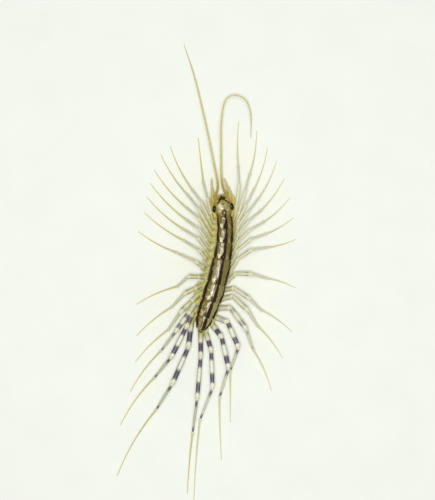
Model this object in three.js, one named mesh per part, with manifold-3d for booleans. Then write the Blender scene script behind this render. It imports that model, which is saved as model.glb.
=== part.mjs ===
// House centipede at life size, a still model standing on a flat floor.
// Millimetres, +Z up, +Y ahead of the head, +X to the animal's right.
// The origin is on the floor under the middle of the whole animal, feelers and last feet included.
import * as THREE from "three";
import { mergeVertices } from "three/addons/utils/BufferGeometryUtils.js";
import Module from "manifold-3d";

const wasm = await Module();
wasm.setup();

// Gap that two touching pieces keep
const GAP = 0.3;

// Body: a station is the distance along the middle line from the front of the head
const HEAD_LENGTH = 4.5;
const TRUNK_HALF_WIDTH = 1.62;
const TRUNK_HALF_HEIGHT = 1.12;
const TRUNK_END = 27.0;
const TELSON = { from: 26.4, to: 28.2, height: 0.6, halfWidth: 0.7, halfHeight: 0.22 };
const BODY_LENGTH = 28.5;
const BODY_HEIGHT = 4.3;
const BODY_ROLL = THREE.MathUtils.degToRad(11);
const TAIL_ROLL_SHARE = 0.2;

// Back plates from the neck to the tail: length, half-width where widest and at the rear,
// and how many pairs of legs grow below
const TERGITES = [
  { length: 2.4, wide: 1.66, rear: 1.62, pairs: 2 },
  { length: 2.8, wide: 1.76, rear: 1.72, pairs: 2 },
  { length: 3.3, wide: 1.88, rear: 1.84, pairs: 2 },
  { length: 5.1, wide: 2.12, rear: 2.04, pairs: 3 },
  { length: 3.6, wide: 2.2, rear: 2.1, pairs: 2 },
  { length: 3.4, wide: 2.08, rear: 1.9, pairs: 2 },
  { length: 2.2, wide: 1.76, rear: 1.3, pairs: 2 },
  { length: 1.2, wide: 1.18, rear: 0.62, pairs: 0 },
];
const TERGITE_THICKNESS = 0.5;
const CORNER_ROUNDING = 0.16;
const TAIL_ROUNDING = 0.42;

// Middle line of the body in plan: head, two guides and tail
const BODY_LINE = [[3.1, 16.4], [5.2, 7.9], [2.5, -1.4], [-1.2, -11.45]];

// Legs: a hip sits a little below the middle of the flank, and a hinge parts each leg above its knee
const LEG_PAIRS = 15;
const HIP_DROP = 0.36;
const LAST_HIPS_ACROSS = { left: -0.22, right: 0.92 };
const LAST_HIP_HEIGHT = -0.45;
const COXA_LENGTH = { front: 0.85, rearLeft: 1.15, rearRight: 0.5 };
const COXA_RADIUS = { widest: 0.58, last: 0.4 };
const RIGHT_COXA_SWING = 0.4;
const REAR_COXA_TRAIL = 0.45;
const LEG_RADIUS = { front: 0.32, rear: 0.5, last: 0.44 };
const LEG_NECK_RADIUS = 0.38;
const ANKLE_RADIUS = 0.27;
const TARSUS_RADIUS = 0.25;
const FOOT_RADIUS = 0.14;
const KNEE_HEIGHT = { front: 8.6, rear: 7.6 };
const ANKLE_HEIGHT = { front: 3.4, rear: 2.8 };
const HINGE_SHARE = 0.42;
const HINGE_RISE = 0.6;
const TARSUS_SWEEP = 0.04;

// Where the knee, the ankle and the tip of each leg stand in plan, from the first leg to the last.
// A hinge has its own place or stands at a share of the way from hip to knee, a rise sets how high
// it is between them, and a sweep curves the foot outwards.
const LEFT_LEGS = [
  { knee: [0.5, 15.3], ankle: [-0.4, 18.8], foot: [-1.5, 28.1], sweep: 0 },
  { knee: [-0.7, 14.6], ankle: [-2.6, 17.3], foot: [-7.2, 26.4] },
  { knee: [-1.4, 13.4], ankle: [-3.5, 16.2], foot: [-9.1, 24.6] },
  { knee: [-1.2, 11.4], ankle: [-3.7, 13.6], foot: [-10.4, 21.4] },
  { knee: [-1.1, 9.2], ankle: [-3.8, 11.2], foot: [-11.2, 18.7] },
  { knee: [-1.3, 7.4], ankle: [-4.6, 9.4], foot: [-11.9, 15.9] },
  { knee: [-1.1, 5.0], ankle: [-4.3, 7.0], foot: [-12.4, 12.7] },
  { knee: [-1.7, 2.7], ankle: [-5.9, 4.6], foot: [-13.7, 8.9] },
  { knee: [-3.3, -0.2], ankle: [-5.7, -2.3], foot: [-14.1, -6.0] },
  { knee: [-4.1, -3.6], ankle: [-6.8, -6.5], foot: [-14.0, -12.4] },
  { knee: [-4.9, -7.3], ankle: [-7.5, -11.1], foot: [-14.3, -17.8] },
  { knee: [-5.8, -11.1], ankle: [-9.0, -15.4], foot: [-15.3, -23.8] },
  { hinge: [-3.8, -10.4], knee: [-6.8, -16.4], ankle: [-10.4, -20.9], foot: [-17.4, -30.7], rise: 0.8 },
  { hinge: [-3.4, -14.5], knee: [-6.6, -21.8], ankle: [-10.0, -27.4], foot: [-18.1, -41.2], rise: 0.5 },
  { hinge: [-0.9, -16.3], knee: [-1.6, -24.6], ankle: [-2.6, -32.2], foot: [-3.7, -44.7], sweep: 0.01 },
];
const RIGHT_LEGS = [
  { knee: [6.8, 18.0], ankle: [6.7, 22.0], foot: [6.8, 31.3], sweep: -0.02 },
  { hinge: [6.8, 12.7], knee: [8.0, 16.9], ankle: [9.0, 20.4], foot: [10.5, 29.4] },
  { hinge: [6.7, 11.2], knee: [8.1, 13.9], ankle: [9.8, 17.2], foot: [12.7, 25.9] },
  { hinge: [6.6, 9.8], knee: [8.5, 12.5], ankle: [10.7, 15.4], foot: [14.6, 23.3] },
  { hinge: [6.7, 8.4], knee: [8.6, 10.8], ankle: [11.3, 13.1], foot: [16.2, 19.8] },
  { hinge: [6.65, 6.8], knee: [8.8, 9.0], ankle: [11.8, 10.7], foot: [17.2, 15.7] },
  { hinge: [6.5, 5.0], knee: [9.1, 7.2], ankle: [12.2, 8.3], foot: [18.0, 11.7] },
  { hinge: [6.6, 3.3], knee: [9.2, 5.1], ankle: [12.5, 5.6], foot: [18.5, 7.3] },
  { hinge: [6.2, 0.4], knee: [9.2, 0.3], ankle: [12.4, -0.6], foot: [18.4, -2.6], rise: 0.55 },
  { hinge: [5.8, -2.6], knee: [8.8, -4.6], ankle: [11.4, -7.1], foot: [17.6, -11.5] },
  { hinge: [5.6, -4.2], knee: [8.5, -6.9], ankle: [10.6, -10.3], foot: [15.8, -17.0], rise: 0.5 },
  { hinge: [5.1, -6.5], knee: [8.2, -10.7], ankle: [9.7, -15.1], foot: [13.5, -23.6] },
  { hinge: [4.5, -9.4], knee: [6.7, -14.4], ankle: [5.1, -19.4], foot: [5.1, -30.1], sweep: 0 },
  { hinge: [3.3, -12.4], knee: [4.7, -18.5], ankle: [2.9, -24.8], foot: [3.3, -37.9], sweep: -0.01 },
  { hinge: [1.2, -15.1], knee: [1.5, -22.5], ankle: [-1.1, -29.5], foot: [-2.4, -47.2], sweep: -0.01 },
];

// Feelers and mouthparts in place and height, root first
const LEFT_ANTENNA = [
  [2.45, 17.1, 5.5], [2.5, 18.6, 5.4], [1.8, 22.3, 5.6], [0.0, 31.0, 5.6], [-2.3, 40.7, 3.0],
  [-4.4, 47.2, 0.5],
];
const RIGHT_ANTENNA = [
  [3.85, 17.1, 5.5], [3.4, 18.7, 5.4], [3.2, 25.3, 6.0], [3.3, 31.6, 7.0], [4.2, 35.3, 7.3],
  [5.8, 36.2, 7.2], [8.0, 35.4, 6.4], [9.1, 33.0, 5.2], [9.3, 28.0, 1.4],
];
const LEFT_PALP = [[1.5, 16.5, 3.75], [1.4, 17.7, 3.75], [1.25, 19.7, 3.5]];
const RIGHT_PALP = [[4.95, 16.7, 3.75], [4.4, 18.1, 3.75], [3.8, 19.7, 3.5]];
const ANTENNA = { station: 0.75, angle: 0.66, lean: 0.6, radius: 0.3, tip: 0.12 };
const PALP = { station: 0.95, angle: -0.3, lean: 0.5, radius: 0.27, tip: 0.13 };

// A poison claw from its root to its tip, as station, distance from the middle line and height
const CLAW = { station: 5.4, across: 0.75, height: -0.87, radius: 0.36, tip: 0.1 };
const CLAW_LINE = [
  [4.6, 1.35, -1.65], [2.6, 2.15, -1.6], [1.1, 2.3, -1.55], [0.1, 1.6, -1.6], [-0.1, 0.55, -1.65],
];

// Finishes
const OLIVE = { color: 0x71663a, roughness: 0.38, metalness: 0 };
const FLANK = { color: 0xb9b175, roughness: 0.5, metalness: 0 };
const HEAD_BROWN = { color: 0x928246, roughness: 0.35, metalness: 0 };
const EYE_BLACK = { color: 0x2b2620, roughness: 0.2, metalness: 0 };
const GOLD = { color: 0xd2c460, roughness: 0.42, metalness: 0 };
const LEG_PALE = { color: 0xcbceb2, roughness: 0.4, metalness: 0 };

const UP = new THREE.Vector3(0, 0, 1);
const { lerp, smoothstep } = THREE.MathUtils;

const bodyCurve = new THREE.CubicBezierCurve3(
  ...BODY_LINE.map(([x, y]) => new THREE.Vector3(x, y, BODY_HEIGHT)),
);

// The body's own directions at a station: back, right and up, rolled so that the left flank shows
function bodyFrame(station) {
  const share = THREE.MathUtils.clamp(station / BODY_LENGTH, 0, 1);
  const origin = bodyCurve.getPointAt(share);
  const back = bodyCurve.getTangentAt(share);
  const fade = lerp(1, TAIL_ROLL_SHARE, smoothstep(station, 19, 26));
  const roll = BODY_ROLL * smoothstep(station, 1, HEAD_LENGTH + 4) * fade;
  const level = new THREE.Vector3().crossVectors(UP, back);
  const right = level.multiplyScalar(Math.cos(roll)).addScaledVector(UP, -Math.sin(roll));
  const up = new THREE.Vector3().crossVectors(back, right);
  return { origin, back, right, up };
}

function bodyPoint(station, across, height) {
  const frame = bodyFrame(station);
  return frame.origin.addScaledVector(frame.right, across).addScaledVector(frame.up, height);
}

// Closed body from rings of points in order, with its two ends capped
function loft(rings) {
  const count = rings[0].length;
  const points = rings.flat();
  const faces = [];
  for (let ring = 0; ring + 1 < rings.length; ring += 1) {
    for (let side = 0; side < count; side += 1) {
      const a = ring * count + side;
      const b = ring * count + ((side + 1) % count);
      faces.push(a, b, b + count, a, b + count, a + count);
    }
  }
  const last = (rings.length - 1) * count;
  for (let side = 1; side + 1 < count; side += 1) {
    faces.push(0, side + 1, side);
    faces.push(last, last + side, last + side + 1);
  }
  return closedGeometry(points, faces);
}

// Geometry with its faces turned outwards
function closedGeometry(points, faces) {
  let volume = 0;
  const normal = new THREE.Vector3();
  for (let at = 0; at < faces.length; at += 3) {
    const [a, b, c] = [points[faces[at]], points[faces[at + 1]], points[faces[at + 2]]];
    volume += a.dot(normal.crossVectors(b, c));
  }
  const order = volume < 0 ? faces.slice().reverse() : faces;
  const geometry = new THREE.BufferGeometry().setFromPoints(points);
  geometry.setIndex(order);
  return geometry;
}

// Ring of points about a centre in the plane of two directions
function ringAround(center, right, up, halfWidth, halfHeight, sides, squareness = 2) {
  const ring = [];
  for (let side = 0; side < sides; side += 1) {
    const angle = (2 * Math.PI * side) / sides;
    const x = Math.cos(angle);
    const z = Math.sin(angle);
    const across = Math.sign(x) * Math.abs(x) ** (2 / squareness) * halfWidth;
    const height = Math.sign(z) * Math.abs(z) ** (2 / squareness) * halfHeight;
    ring.push(center.clone().addScaledVector(right, across).addScaledVector(up, height));
  }
  return ring;
}

// Six-sided tube through stations that each have a point, a radius and, at the roots, a facing
function tube(stations) {
  const rings = stations.map((station, index) => {
    const before = stations[Math.max(index - 1, 0)].point;
    const after = stations[Math.min(index + 1, stations.length - 1)].point;
    const incoming = station.point.clone().sub(before).normalize();
    const outgoing = after.clone().sub(station.point).normalize();
    const heading = station.facing?.clone() ?? incoming.add(outgoing).normalize();
    if (station.onFloor) heading.setZ(0).normalize();
    const right = new THREE.Vector3().crossVectors(heading, UP).normalize();
    const up = new THREE.Vector3().crossVectors(right, heading);
    return ringAround(station.point, right, up, station.radius, station.radius, 6);
  });
  return loft(rings);
}

// Trunk
const NECK = HEAD_LENGTH + GAP;

function trunkTaper(station) {
  const share = THREE.MathUtils.clamp((station - NECK) / (TRUNK_END - NECK), 0, 1);
  return (1 - 0.2 * (1 - share) ** 3) * (1 - 0.24 * share ** 3);
}

function trunkPoint(station, angle) {
  const size = trunkTaper(station);
  const across = Math.cos(angle) * TRUNK_HALF_WIDTH * size;
  const height = Math.sin(angle) * TRUNK_HALF_HEIGHT * size;
  return bodyPoint(station, across, height);
}

function trunkLength(from, to, steps) {
  const sides = 16;
  const rings = [];
  for (let step = 0; step <= steps; step += 1) {
    const station = lerp(from, to, step / steps);
    const ring = [];
    for (let side = 0; side < sides; side += 1) {
      ring.push(trunkPoint(station, (2 * Math.PI * side) / sides));
    }
    rings.push(ring);
  }
  return loft(rings);
}

// Lobe at the tail, above the last hips and under the last plate
function telson() {
  const rings = [];
  const steps = 5;
  for (let step = 0; step <= steps; step += 1) {
    const share = step / steps;
    const frame = bodyFrame(lerp(TELSON.from, TELSON.to, share));
    const size = Math.sqrt(1 - 0.8 * share ** 3);
    const center = frame.origin.addScaledVector(frame.up, TELSON.height);
    const [halfWidth, halfHeight] = [TELSON.halfWidth * size, TELSON.halfHeight * size];
    rings.push(ringAround(center, frame.right, frame.up, halfWidth, halfHeight, 12));
  }
  return solid(loft(rings));
}

// Plate over the back, arched across, with a notch and a low keel behind; the last is rounded off
function tergite(from, { length, wide, rear: rearWide, pairs }) {
  const across = 12;
  const along = pairs ? 6 : 3;
  const notch = pairs ? 0.16 : 0;
  const corner = (side) => (pairs ? CORNER_ROUNDING * side ** 6 : TAIL_ROUNDING * side ** 2);
  const sheet = (drop) => {
    const points = [];
    for (let row = 0; row <= along; row += 1) {
      for (let column = 0; column <= across; column += 1) {
        const side = (2 * column) / across - 1;
        const share = row / along;
        const front = pairs ? 0.12 * wide * side ** 6 : 0;
        const rear = length - GAP - wide * corner(side) - notch * Math.exp(-((side / 0.2) ** 2));
        const halfWidth = lerp(wide, rearWide, smoothstep(share, 0.3, 1));
        const reach = halfWidth * (0.9 + 0.1 * Math.sin(Math.PI * Math.min(share * 1.2, 0.75) / 1.5));
        const keel = 0.1 * Math.exp(-((side / 0.22) ** 2)) * share ** 2;
        const station = from + lerp(front, rear, share);
        const crown = TRUNK_HALF_HEIGHT * trunkTaper(station) + GAP + TERGITE_THICKNESS;
        const height = crown - 0.17 * (side * reach) ** 2 + 0.2 * share ** 3 + keel - drop;
        points.push(bodyPoint(station, side * reach, height));
      }
    }
    return points;
  };
  const top = sheet(0);
  const points = [...top, ...sheet(TERGITE_THICKNESS)];
  const faces = [];
  const width = across + 1;
  const quad = (a, b, c, d) => faces.push(a, b, c, a, c, d);
  for (let row = 0; row < along; row += 1) {
    for (let column = 0; column < across; column += 1) {
      const a = row * width + column;
      const b = a + top.length;
      quad(a, a + 1, a + 1 + width, a + width);
      quad(b, b + width, b + 1 + width, b + 1);
    }
  }
  for (let column = 0; column < across; column += 1) {
    const front = column;
    const rear = along * width + column;
    quad(front, front + top.length, front + 1 + top.length, front + 1);
    quad(rear, rear + 1, rear + 1 + top.length, rear + top.length);
  }
  for (let row = 0; row < along; row += 1) {
    const left = row * width;
    const right = left + across;
    quad(left, left + width, left + width + top.length, left + top.length);
    quad(right, right + top.length, right + width + top.length, right + width);
  }
  return closedGeometry(points, faces);
}

// Stations of the hips, spread evenly below each plate
const HIPS = [];
let hipsFrom = NECK;
for (const { length, pairs } of TERGITES) {
  for (let pair = 0; pair < pairs; pair += 1) {
    HIPS.push(hipsFrom + (length * (pair + 0.5)) / pairs);
  }
  hipsFrom += length;
}

// Leg: the last pair grows from the trunk's rear face, the others from its flanks
function hip(side, index) {
  if (index === LEG_PAIRS - 1) {
    const facing = new THREE.Vector3(0, -1, 0);
    const across = side < 0 ? LAST_HIPS_ACROSS.left : LAST_HIPS_ACROSS.right;
    const face = bodyPoint(TRUNK_END, across, LAST_HIP_HEIGHT);
    return { point: face.addScaledVector(facing, GAP + 0.15), facing };
  }
  const station = HIPS[index];
  const angle = side > 0 ? -HIP_DROP : Math.PI + HIP_DROP;
  const step = 0.05;
  const point = trunkPoint(station, angle);
  const along = trunkPoint(station + step, angle).sub(trunkPoint(station - step, angle));
  const around = trunkPoint(station, angle + step).sub(trunkPoint(station, angle - step));
  const facing = new THREE.Vector3().crossVectors(around, along).normalize();
  return { point: point.addScaledVector(facing, GAP), facing };
}

// The coxae of a flank stand side by side with a gap between them
function coxaRadius(side, index) {
  if (index === LEG_PAIRS - 1) return COXA_RADIUS.last;
  const ahead = index > 0 ? HIPS[index] - HIPS[index - 1] : Infinity;
  const behind = HIPS[index + 1] - HIPS[index];
  const crowding = side < 0 ? 0.92 : 0.8;
  return Math.min(COXA_RADIUS.widest, (crowding * Math.min(ahead, behind) - GAP) / 2);
}

function coxaTip(side, index, root) {
  const share = index / (LEG_PAIRS - 1);
  const last = index === LEG_PAIRS - 1;
  const rearLength = side < 0 && !last ? COXA_LENGTH.rearLeft : COXA_LENGTH.rearRight;
  const length = lerp(COXA_LENGTH.front, rearLength, smoothstep(share, 0.6, 0.9));
  const tip = root.point.clone().addScaledVector(root.facing, length);
  tip.y -= REAR_COXA_TRAIL * smoothstep(share, 0.8, 1);
  if (side > 0 && !last) {
    const swing = RIGHT_COXA_SWING * smoothstep(index, 1, 4) * (1 - smoothstep(index, 9, 12));
    tip.addScaledVector(bodyFrame(HIPS[index]).back, -swing);
  }
  return tip;
}

function legRadius(index) {
  if (index === LEG_PAIRS - 1) return LEG_RADIUS.last;
  return lerp(LEG_RADIUS.front, LEG_RADIUS.rear, smoothstep(index / (LEG_PAIRS - 1), 0.3, 0.85));
}

function legStations(side, index, plan) {
  const { hinge, knee, ankle, foot, rise = HINGE_RISE, sweep = TARSUS_SWEEP } = plan;
  const share = index / (LEG_PAIRS - 1);
  const thick = legRadius(index);
  const coxa = coxaRadius(side, index);
  const kneeHeight = lerp(KNEE_HEIGHT.front, KNEE_HEIGHT.rear, share);
  const ankleHeight = lerp(ANKLE_HEIGHT.front, ANKLE_HEIGHT.rear, share);
  const root = hip(side, index);
  const coxaEnd = coxaTip(side, index, root);
  const kneePoint = new THREE.Vector3(...knee, kneeHeight);
  const anklePoint = new THREE.Vector3(...ankle, ankleHeight);
  const hingePoint = coxaEnd.clone().lerp(kneePoint, HINGE_SHARE);
  if (hinge) hingePoint.set(...hinge, 0);
  hingePoint.z = lerp(coxaEnd.z, kneeHeight, rise);
  const stations = [
    { point: root.point, radius: coxa, facing: root.facing },
    { point: root.point.clone().lerp(coxaEnd, 0.55), radius: coxa * 0.92, facing: root.facing },
    { point: coxaEnd, radius: Math.min(0.95 * thick, LEG_NECK_RADIUS) },
  ];
  const article = (from, to, start, middle, end) => {
    const reach = 0.4 / from.distanceTo(to);
    stations.push({ point: from.clone().lerp(to, reach), radius: start });
    stations.push({ point: from.clone().lerp(to, 0.5), radius: middle });
    stations.push({ point: from.clone().lerp(to, 1 - reach), radius: end });
    stations.push({ point: to, radius: end * 0.95 });
  };
  const slender = lerp(0.95, 0.8, smoothstep(share, 0.6, 0.85));
  article(coxaEnd, hingePoint, thick * slender, thick * 1.05, thick * 1.05);
  article(hingePoint, kneePoint, thick * 0.92, thick, thick * 0.95);
  article(kneePoint, anklePoint, thick * 0.82, thick * 0.74, ANKLE_RADIUS);
  const [runX, runY] = [foot[0] - ankle[0], foot[1] - ankle[1]];
  const tarsus = (t) => {
    const outward = sweep * 4 * t * (1 - t) * side * Math.sign(runY);
    return [ankle[0] + runX * t + outward * runY, ankle[1] + runY * t - outward * runX];
  };
  const flat = 0.86;
  const steps = 8;
  for (let step = 1; step <= steps; step += 1) {
    const t = step / steps;
    const radius = lerp(TARSUS_RADIUS, FOOT_RADIUS, Math.max(0, t - 0.6) / 0.4);
    const rest = radius * Math.sin(Math.PI / 3);
    const height = t >= flat ? rest : lerp(rest, ankleHeight, (1 - t / flat) ** 1.5);
    stations.push({ point: new THREE.Vector3(...tarsus(t), height), radius, onFloor: t >= flat });
  }
  return stations;
}

// Feelers and mouthparts
function whip(rootPoint, facing, guides, rootRadius, tipRadius, steps, keepShare) {
  const start = rootPoint.clone().addScaledVector(facing, 0.5);
  const curve = new THREE.CatmullRomCurve3([start, ...guides.map((guide) => new THREE.Vector3(...guide))]);
  const stations = [{ point: rootPoint, radius: rootRadius, facing }];
  for (let step = 0; step <= steps; step += 1) {
    const t = step / steps;
    const taper = Math.max(0, (t - keepShare) / (1 - keepShare));
    stations.push({ point: curve.getPointAt(t), radius: lerp(rootRadius, tipRadius, taper) });
  }
  return tube(stations);
}

// Solid from a closed geometry, and back
function solid(geometry) {
  const merged = mergeVertices(geometry, 1e-4);
  return new wasm.Manifold(new wasm.Mesh({
    numProp: 3,
    vertProperties: Float32Array.from(merged.attributes.position.array),
    triVerts: Uint32Array.from(merged.index.array),
  }));
}

function fromSolid(shape) {
  const mesh = shape.getMesh();
  const geometry = new THREE.BufferGeometry();
  geometry.setAttribute("position", new THREE.BufferAttribute(Float32Array.from(mesh.vertProperties), 3));
  geometry.setIndex(new THREE.BufferAttribute(Uint32Array.from(mesh.triVerts), 1));
  return geometry;
}

// Head: a low dome, widest at the eyes
const HEAD_HALF_WIDTH = 2.02;
const HEAD_HALF_HEIGHT = 1.2;
const HEAD_SQUARENESS = 2.3;
const EYE_STATION = 2.75;
const EYE_ACROSS = 1.78;
const EYE_HEIGHT = 0.35;
const EYE_HALF_SIZE = [0.42, 0.75, 0.55];

function headHalfWidth(station) {
  const share = station / HEAD_LENGTH;
  const dome = Math.sqrt(1 - (1 - Math.min(share * 1.45, 1)) ** 2.2);
  return HEAD_HALF_WIDTH * dome * (1 - 0.28 * smoothstep(share, 0.65, 1));
}

function headHalfHeight(station) {
  const share = station / HEAD_LENGTH;
  return HEAD_HALF_HEIGHT * Math.sqrt(1 - (1 - Math.min(share * 1.6, 1)) ** 2) * (1 - 0.12 * share);
}

function head() {
  const rings = [];
  const stations = [0.02, 0.12, 0.35, 0.7, 1.15, 1.7, 2.3, 2.9, 3.5, 4.1, HEAD_LENGTH];
  for (const station of stations) {
    const { origin, right, up } = bodyFrame(station);
    const [halfWidth, halfHeight] = [headHalfWidth(station), headHalfHeight(station)];
    rings.push(ringAround(origin, right, up, halfWidth, halfHeight, 18, HEAD_SQUARENESS));
  }
  return loft(rings);
}

// Root of a limb on the head's surface, its angle counted up from the side it is on
function headRoot(side, { station, angle, lean }) {
  const place = (at, turn) => {
    const power = 2 / HEAD_SQUARENESS;
    const across = side * Math.cos(turn) ** power * headHalfWidth(at);
    return bodyPoint(at, across, Math.sign(turn) * Math.abs(Math.sin(turn)) ** power * headHalfHeight(at));
  };
  const step = 0.05;
  const along = place(station + step, angle).sub(place(station - step, angle));
  const around = place(station, angle + step).sub(place(station, angle - step));
  const facing = new THREE.Vector3().crossVectors(around, along).multiplyScalar(side).normalize();
  facing.addScaledVector(bodyFrame(station).back, -lean).normalize();
  return { point: place(station, angle).addScaledVector(facing, GAP + 0.12), facing };
}

// Jaws and lower lip as low swellings under the head, one of each pair: half sizes across, along and up
const MOUTH_LOBES = [
  { station: 1.0, across: 0.42, height: -0.98, size: [0.38, 0.62, 0.26] },
  { station: 2.1, across: 0.5, height: -1.12, size: [0.42, 0.8, 0.24] },
];

function ball(station, across, height, [wide, long, high]) {
  const geometry = new THREE.SphereGeometry(1, 10, 6);
  geometry.deleteAttribute("normal");
  geometry.deleteAttribute("uv");
  const frame = bodyFrame(station);
  const turned = new THREE.Matrix4().makeBasis(
    frame.right.clone().multiplyScalar(wide),
    frame.back.clone().multiplyScalar(-long),
    frame.up.clone().multiplyScalar(high),
  );
  turned.setPosition(bodyPoint(station, across, height));
  return solid(geometry.applyMatrix4(turned));
}

function eye(side, grow) {
  const frame = bodyFrame(EYE_STATION);
  const center = frame.origin
    .addScaledVector(frame.right, side * EYE_ACROSS)
    .addScaledVector(frame.up, EYE_HEIGHT);
  const geometry = new THREE.SphereGeometry(1, 12, 8);
  geometry.deleteAttribute("normal");
  geometry.deleteAttribute("uv");
  geometry.scale(...EYE_HALF_SIZE.map((size) => size + grow));
  geometry.rotateZ(side * 0.15);
  geometry.translate(center.x, center.y, center.z);
  return mergeVertices(geometry, 1e-4);
}

const animal = new THREE.Group();

function add(name, geometry, finish) {
  const mesh = new THREE.Mesh(geometry, new THREE.MeshStandardMaterial(finish));
  mesh.name = name;
  animal.add(mesh);
}

const SOCKET_GAP = GAP + 0.03;
const sockets = solid(eye(-1, SOCKET_GAP)).add(solid(eye(1, SOCKET_GAP)));
let skull = solid(head());
for (const side of [-1, 1]) {
  for (const { station, across, height, size } of MOUTH_LOBES) {
    skull = skull.add(ball(station, side * across, height, size));
  }
}
add("head", fromSolid(skull.subtract(sockets)), HEAD_BROWN);
add("eye_left", eye(-1, 0), EYE_BLACK);
add("eye_right", eye(1, 0), EYE_BLACK);

// Four lengths of trunk, parted between two hips
const TRUNK_NAMES = ["trunk_front", "trunk_middle", "trunk_rear", "trunk_tail"];
TRUNK_NAMES.forEach((name, index) => {
  const cut = (count) => (HIPS[4 * count - 1] + HIPS[4 * count]) / 2;
  const from = index === 0 ? NECK : cut(index) + GAP / 2;
  const last = index === TRUNK_NAMES.length - 1;
  const to = last ? TRUNK_END : cut(index + 1) - GAP / 2;
  const length = trunkLength(from, to, 8);
  add(name, last ? fromSolid(solid(length).add(telson())) : length, FLANK);
});

let tergiteStart = NECK;
TERGITES.forEach((plate, index) => {
  add(`tergite_${index + 1}`, tergite(tergiteStart, plate), OLIVE);
  tergiteStart += plate.length;
});

for (let index = 0; index < LEG_PAIRS; index += 1) {
  const number = String(index + 1).padStart(2, "0");
  add(`leg_left_${number}`, tube(legStations(-1, index, LEFT_LEGS[index])), LEG_PALE);
  add(`leg_right_${number}`, tube(legStations(1, index, RIGHT_LEGS[index])), LEG_PALE);
}

const headLimb = (side, limb, guides, steps, keepShare) => {
  const { point, facing } = headRoot(side, limb);
  return whip(point, facing, guides, limb.radius, limb.tip, steps, keepShare);
};
add("antenna_left", headLimb(-1, ANTENNA, LEFT_ANTENNA, 36, 0.7), GOLD);
add("antenna_right", headLimb(1, ANTENNA, RIGHT_ANTENNA, 38, 0.75), GOLD);
add("palp_left", headLimb(-1, PALP, LEFT_PALP, 14, 0.5), GOLD);
add("palp_right", headLimb(1, PALP, RIGHT_PALP, 14, 0.5), GOLD);

// Poison claws: each grows from the underside of the first trunk length and bends in below the head
function claw(side) {
  const facing = bodyFrame(CLAW.station).up.negate();
  const below = CLAW.height * TRUNK_HALF_HEIGHT * trunkTaper(CLAW.station);
  const point = bodyPoint(CLAW.station, side * CLAW.across, below);
  point.addScaledVector(facing, GAP + 0.06);
  const guides = CLAW_LINE.map(([station, across, height]) => {
    const ahead = Math.min(station, 0);
    const place = bodyPoint(station - ahead, side * across, height);
    return place.addScaledVector(bodyFrame(0).back, ahead).toArray();
  });
  return whip(point, facing, guides, CLAW.radius, CLAW.tip, 18, 0.55);
}
add("forcipule_left", claw(-1), GOLD);
add("forcipule_right", claw(1), GOLD);

export default animal;
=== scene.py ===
# House centipede at life size, dressed around its solids
# Places and sizes are in millimetres, and each mesh is made in metres
import random
from bisect import bisect_right
from functools import partial
from math import copysign, cos, exp, hypot, pi, radians, remainder, sin, sqrt

import bmesh
import bpy
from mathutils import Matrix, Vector, kdtree, noise


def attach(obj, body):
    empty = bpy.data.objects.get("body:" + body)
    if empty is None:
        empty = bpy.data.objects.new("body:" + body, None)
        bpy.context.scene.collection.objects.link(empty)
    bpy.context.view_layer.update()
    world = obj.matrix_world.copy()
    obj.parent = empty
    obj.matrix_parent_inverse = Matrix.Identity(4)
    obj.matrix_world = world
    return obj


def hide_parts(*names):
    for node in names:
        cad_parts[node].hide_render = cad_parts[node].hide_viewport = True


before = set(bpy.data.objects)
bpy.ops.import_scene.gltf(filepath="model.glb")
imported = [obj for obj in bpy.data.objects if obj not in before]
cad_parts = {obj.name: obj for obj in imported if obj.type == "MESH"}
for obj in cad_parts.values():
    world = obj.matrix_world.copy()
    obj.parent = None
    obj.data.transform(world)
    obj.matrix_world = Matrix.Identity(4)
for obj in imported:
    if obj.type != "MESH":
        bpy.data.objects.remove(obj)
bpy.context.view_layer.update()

MM = 0.001
UP = Vector((0, 0, 1))

# Gap that two touching solids keep
GAP = 0.3

# Body: a station is the distance along the middle line from the front of the head
HEAD_LENGTH = 4.5
TERGITE_THICKNESS = 0.5
TRUNK_HALF_WIDTH = 1.62
TRUNK_HALF_HEIGHT = 1.12
TRUNK_END = 27.0
BODY_LENGTH = 28.5
BODY_HEIGHT = 4.3
BODY_ROLL = radians(11)
TAIL_ROLL_SHARE = 0.2
NECK = HEAD_LENGTH + GAP

# Back plates from the neck to the tail: length, half-width where widest and at the rear,
# and how many pairs of legs grow below
TERGITES = [
    (2.4, 1.66, 1.62, 2), (2.8, 1.76, 1.72, 2), (3.3, 1.88, 1.84, 2), (5.1, 2.12, 2.04, 3),
    (3.6, 2.2, 2.1, 2), (3.4, 2.08, 1.9, 2), (2.2, 1.76, 1.3, 2), (1.2, 1.18, 0.62, 0),
]

# Stations where the plates start and where the hips sit, spread evenly below each plate
PLATE_STARTS, HIPS = [], []
reached = NECK
for plate_length, _, _, leg_pairs in TERGITES:
    PLATE_STARTS.append(reached)
    HIPS += [reached + plate_length * (pair + 0.5) / leg_pairs for pair in range(leg_pairs)]
    reached += plate_length

# Middle line of the body in plan: head, two guides and tail
BODY_LINE = [(3.1, 16.4), (5.2, 7.9), (2.5, -1.4), (-1.2, -11.45)]

# Legs: a hip sits a little below the middle of the flank, and a hinge parts each leg above its knee
LEG_PAIRS = 15
LAST_LEG = LEG_PAIRS - 1
HIP_DROP = 0.36
LAST_HIPS_ACROSS = (-0.22, 0.92)
LAST_HIP_HEIGHT = -0.45
RIGHT_COXA_SWING = 0.4
REAR_COXA_TRAIL = 0.45
TARSUS_SWEEP = 0.04
FLAT_FROM = 0.86

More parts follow.
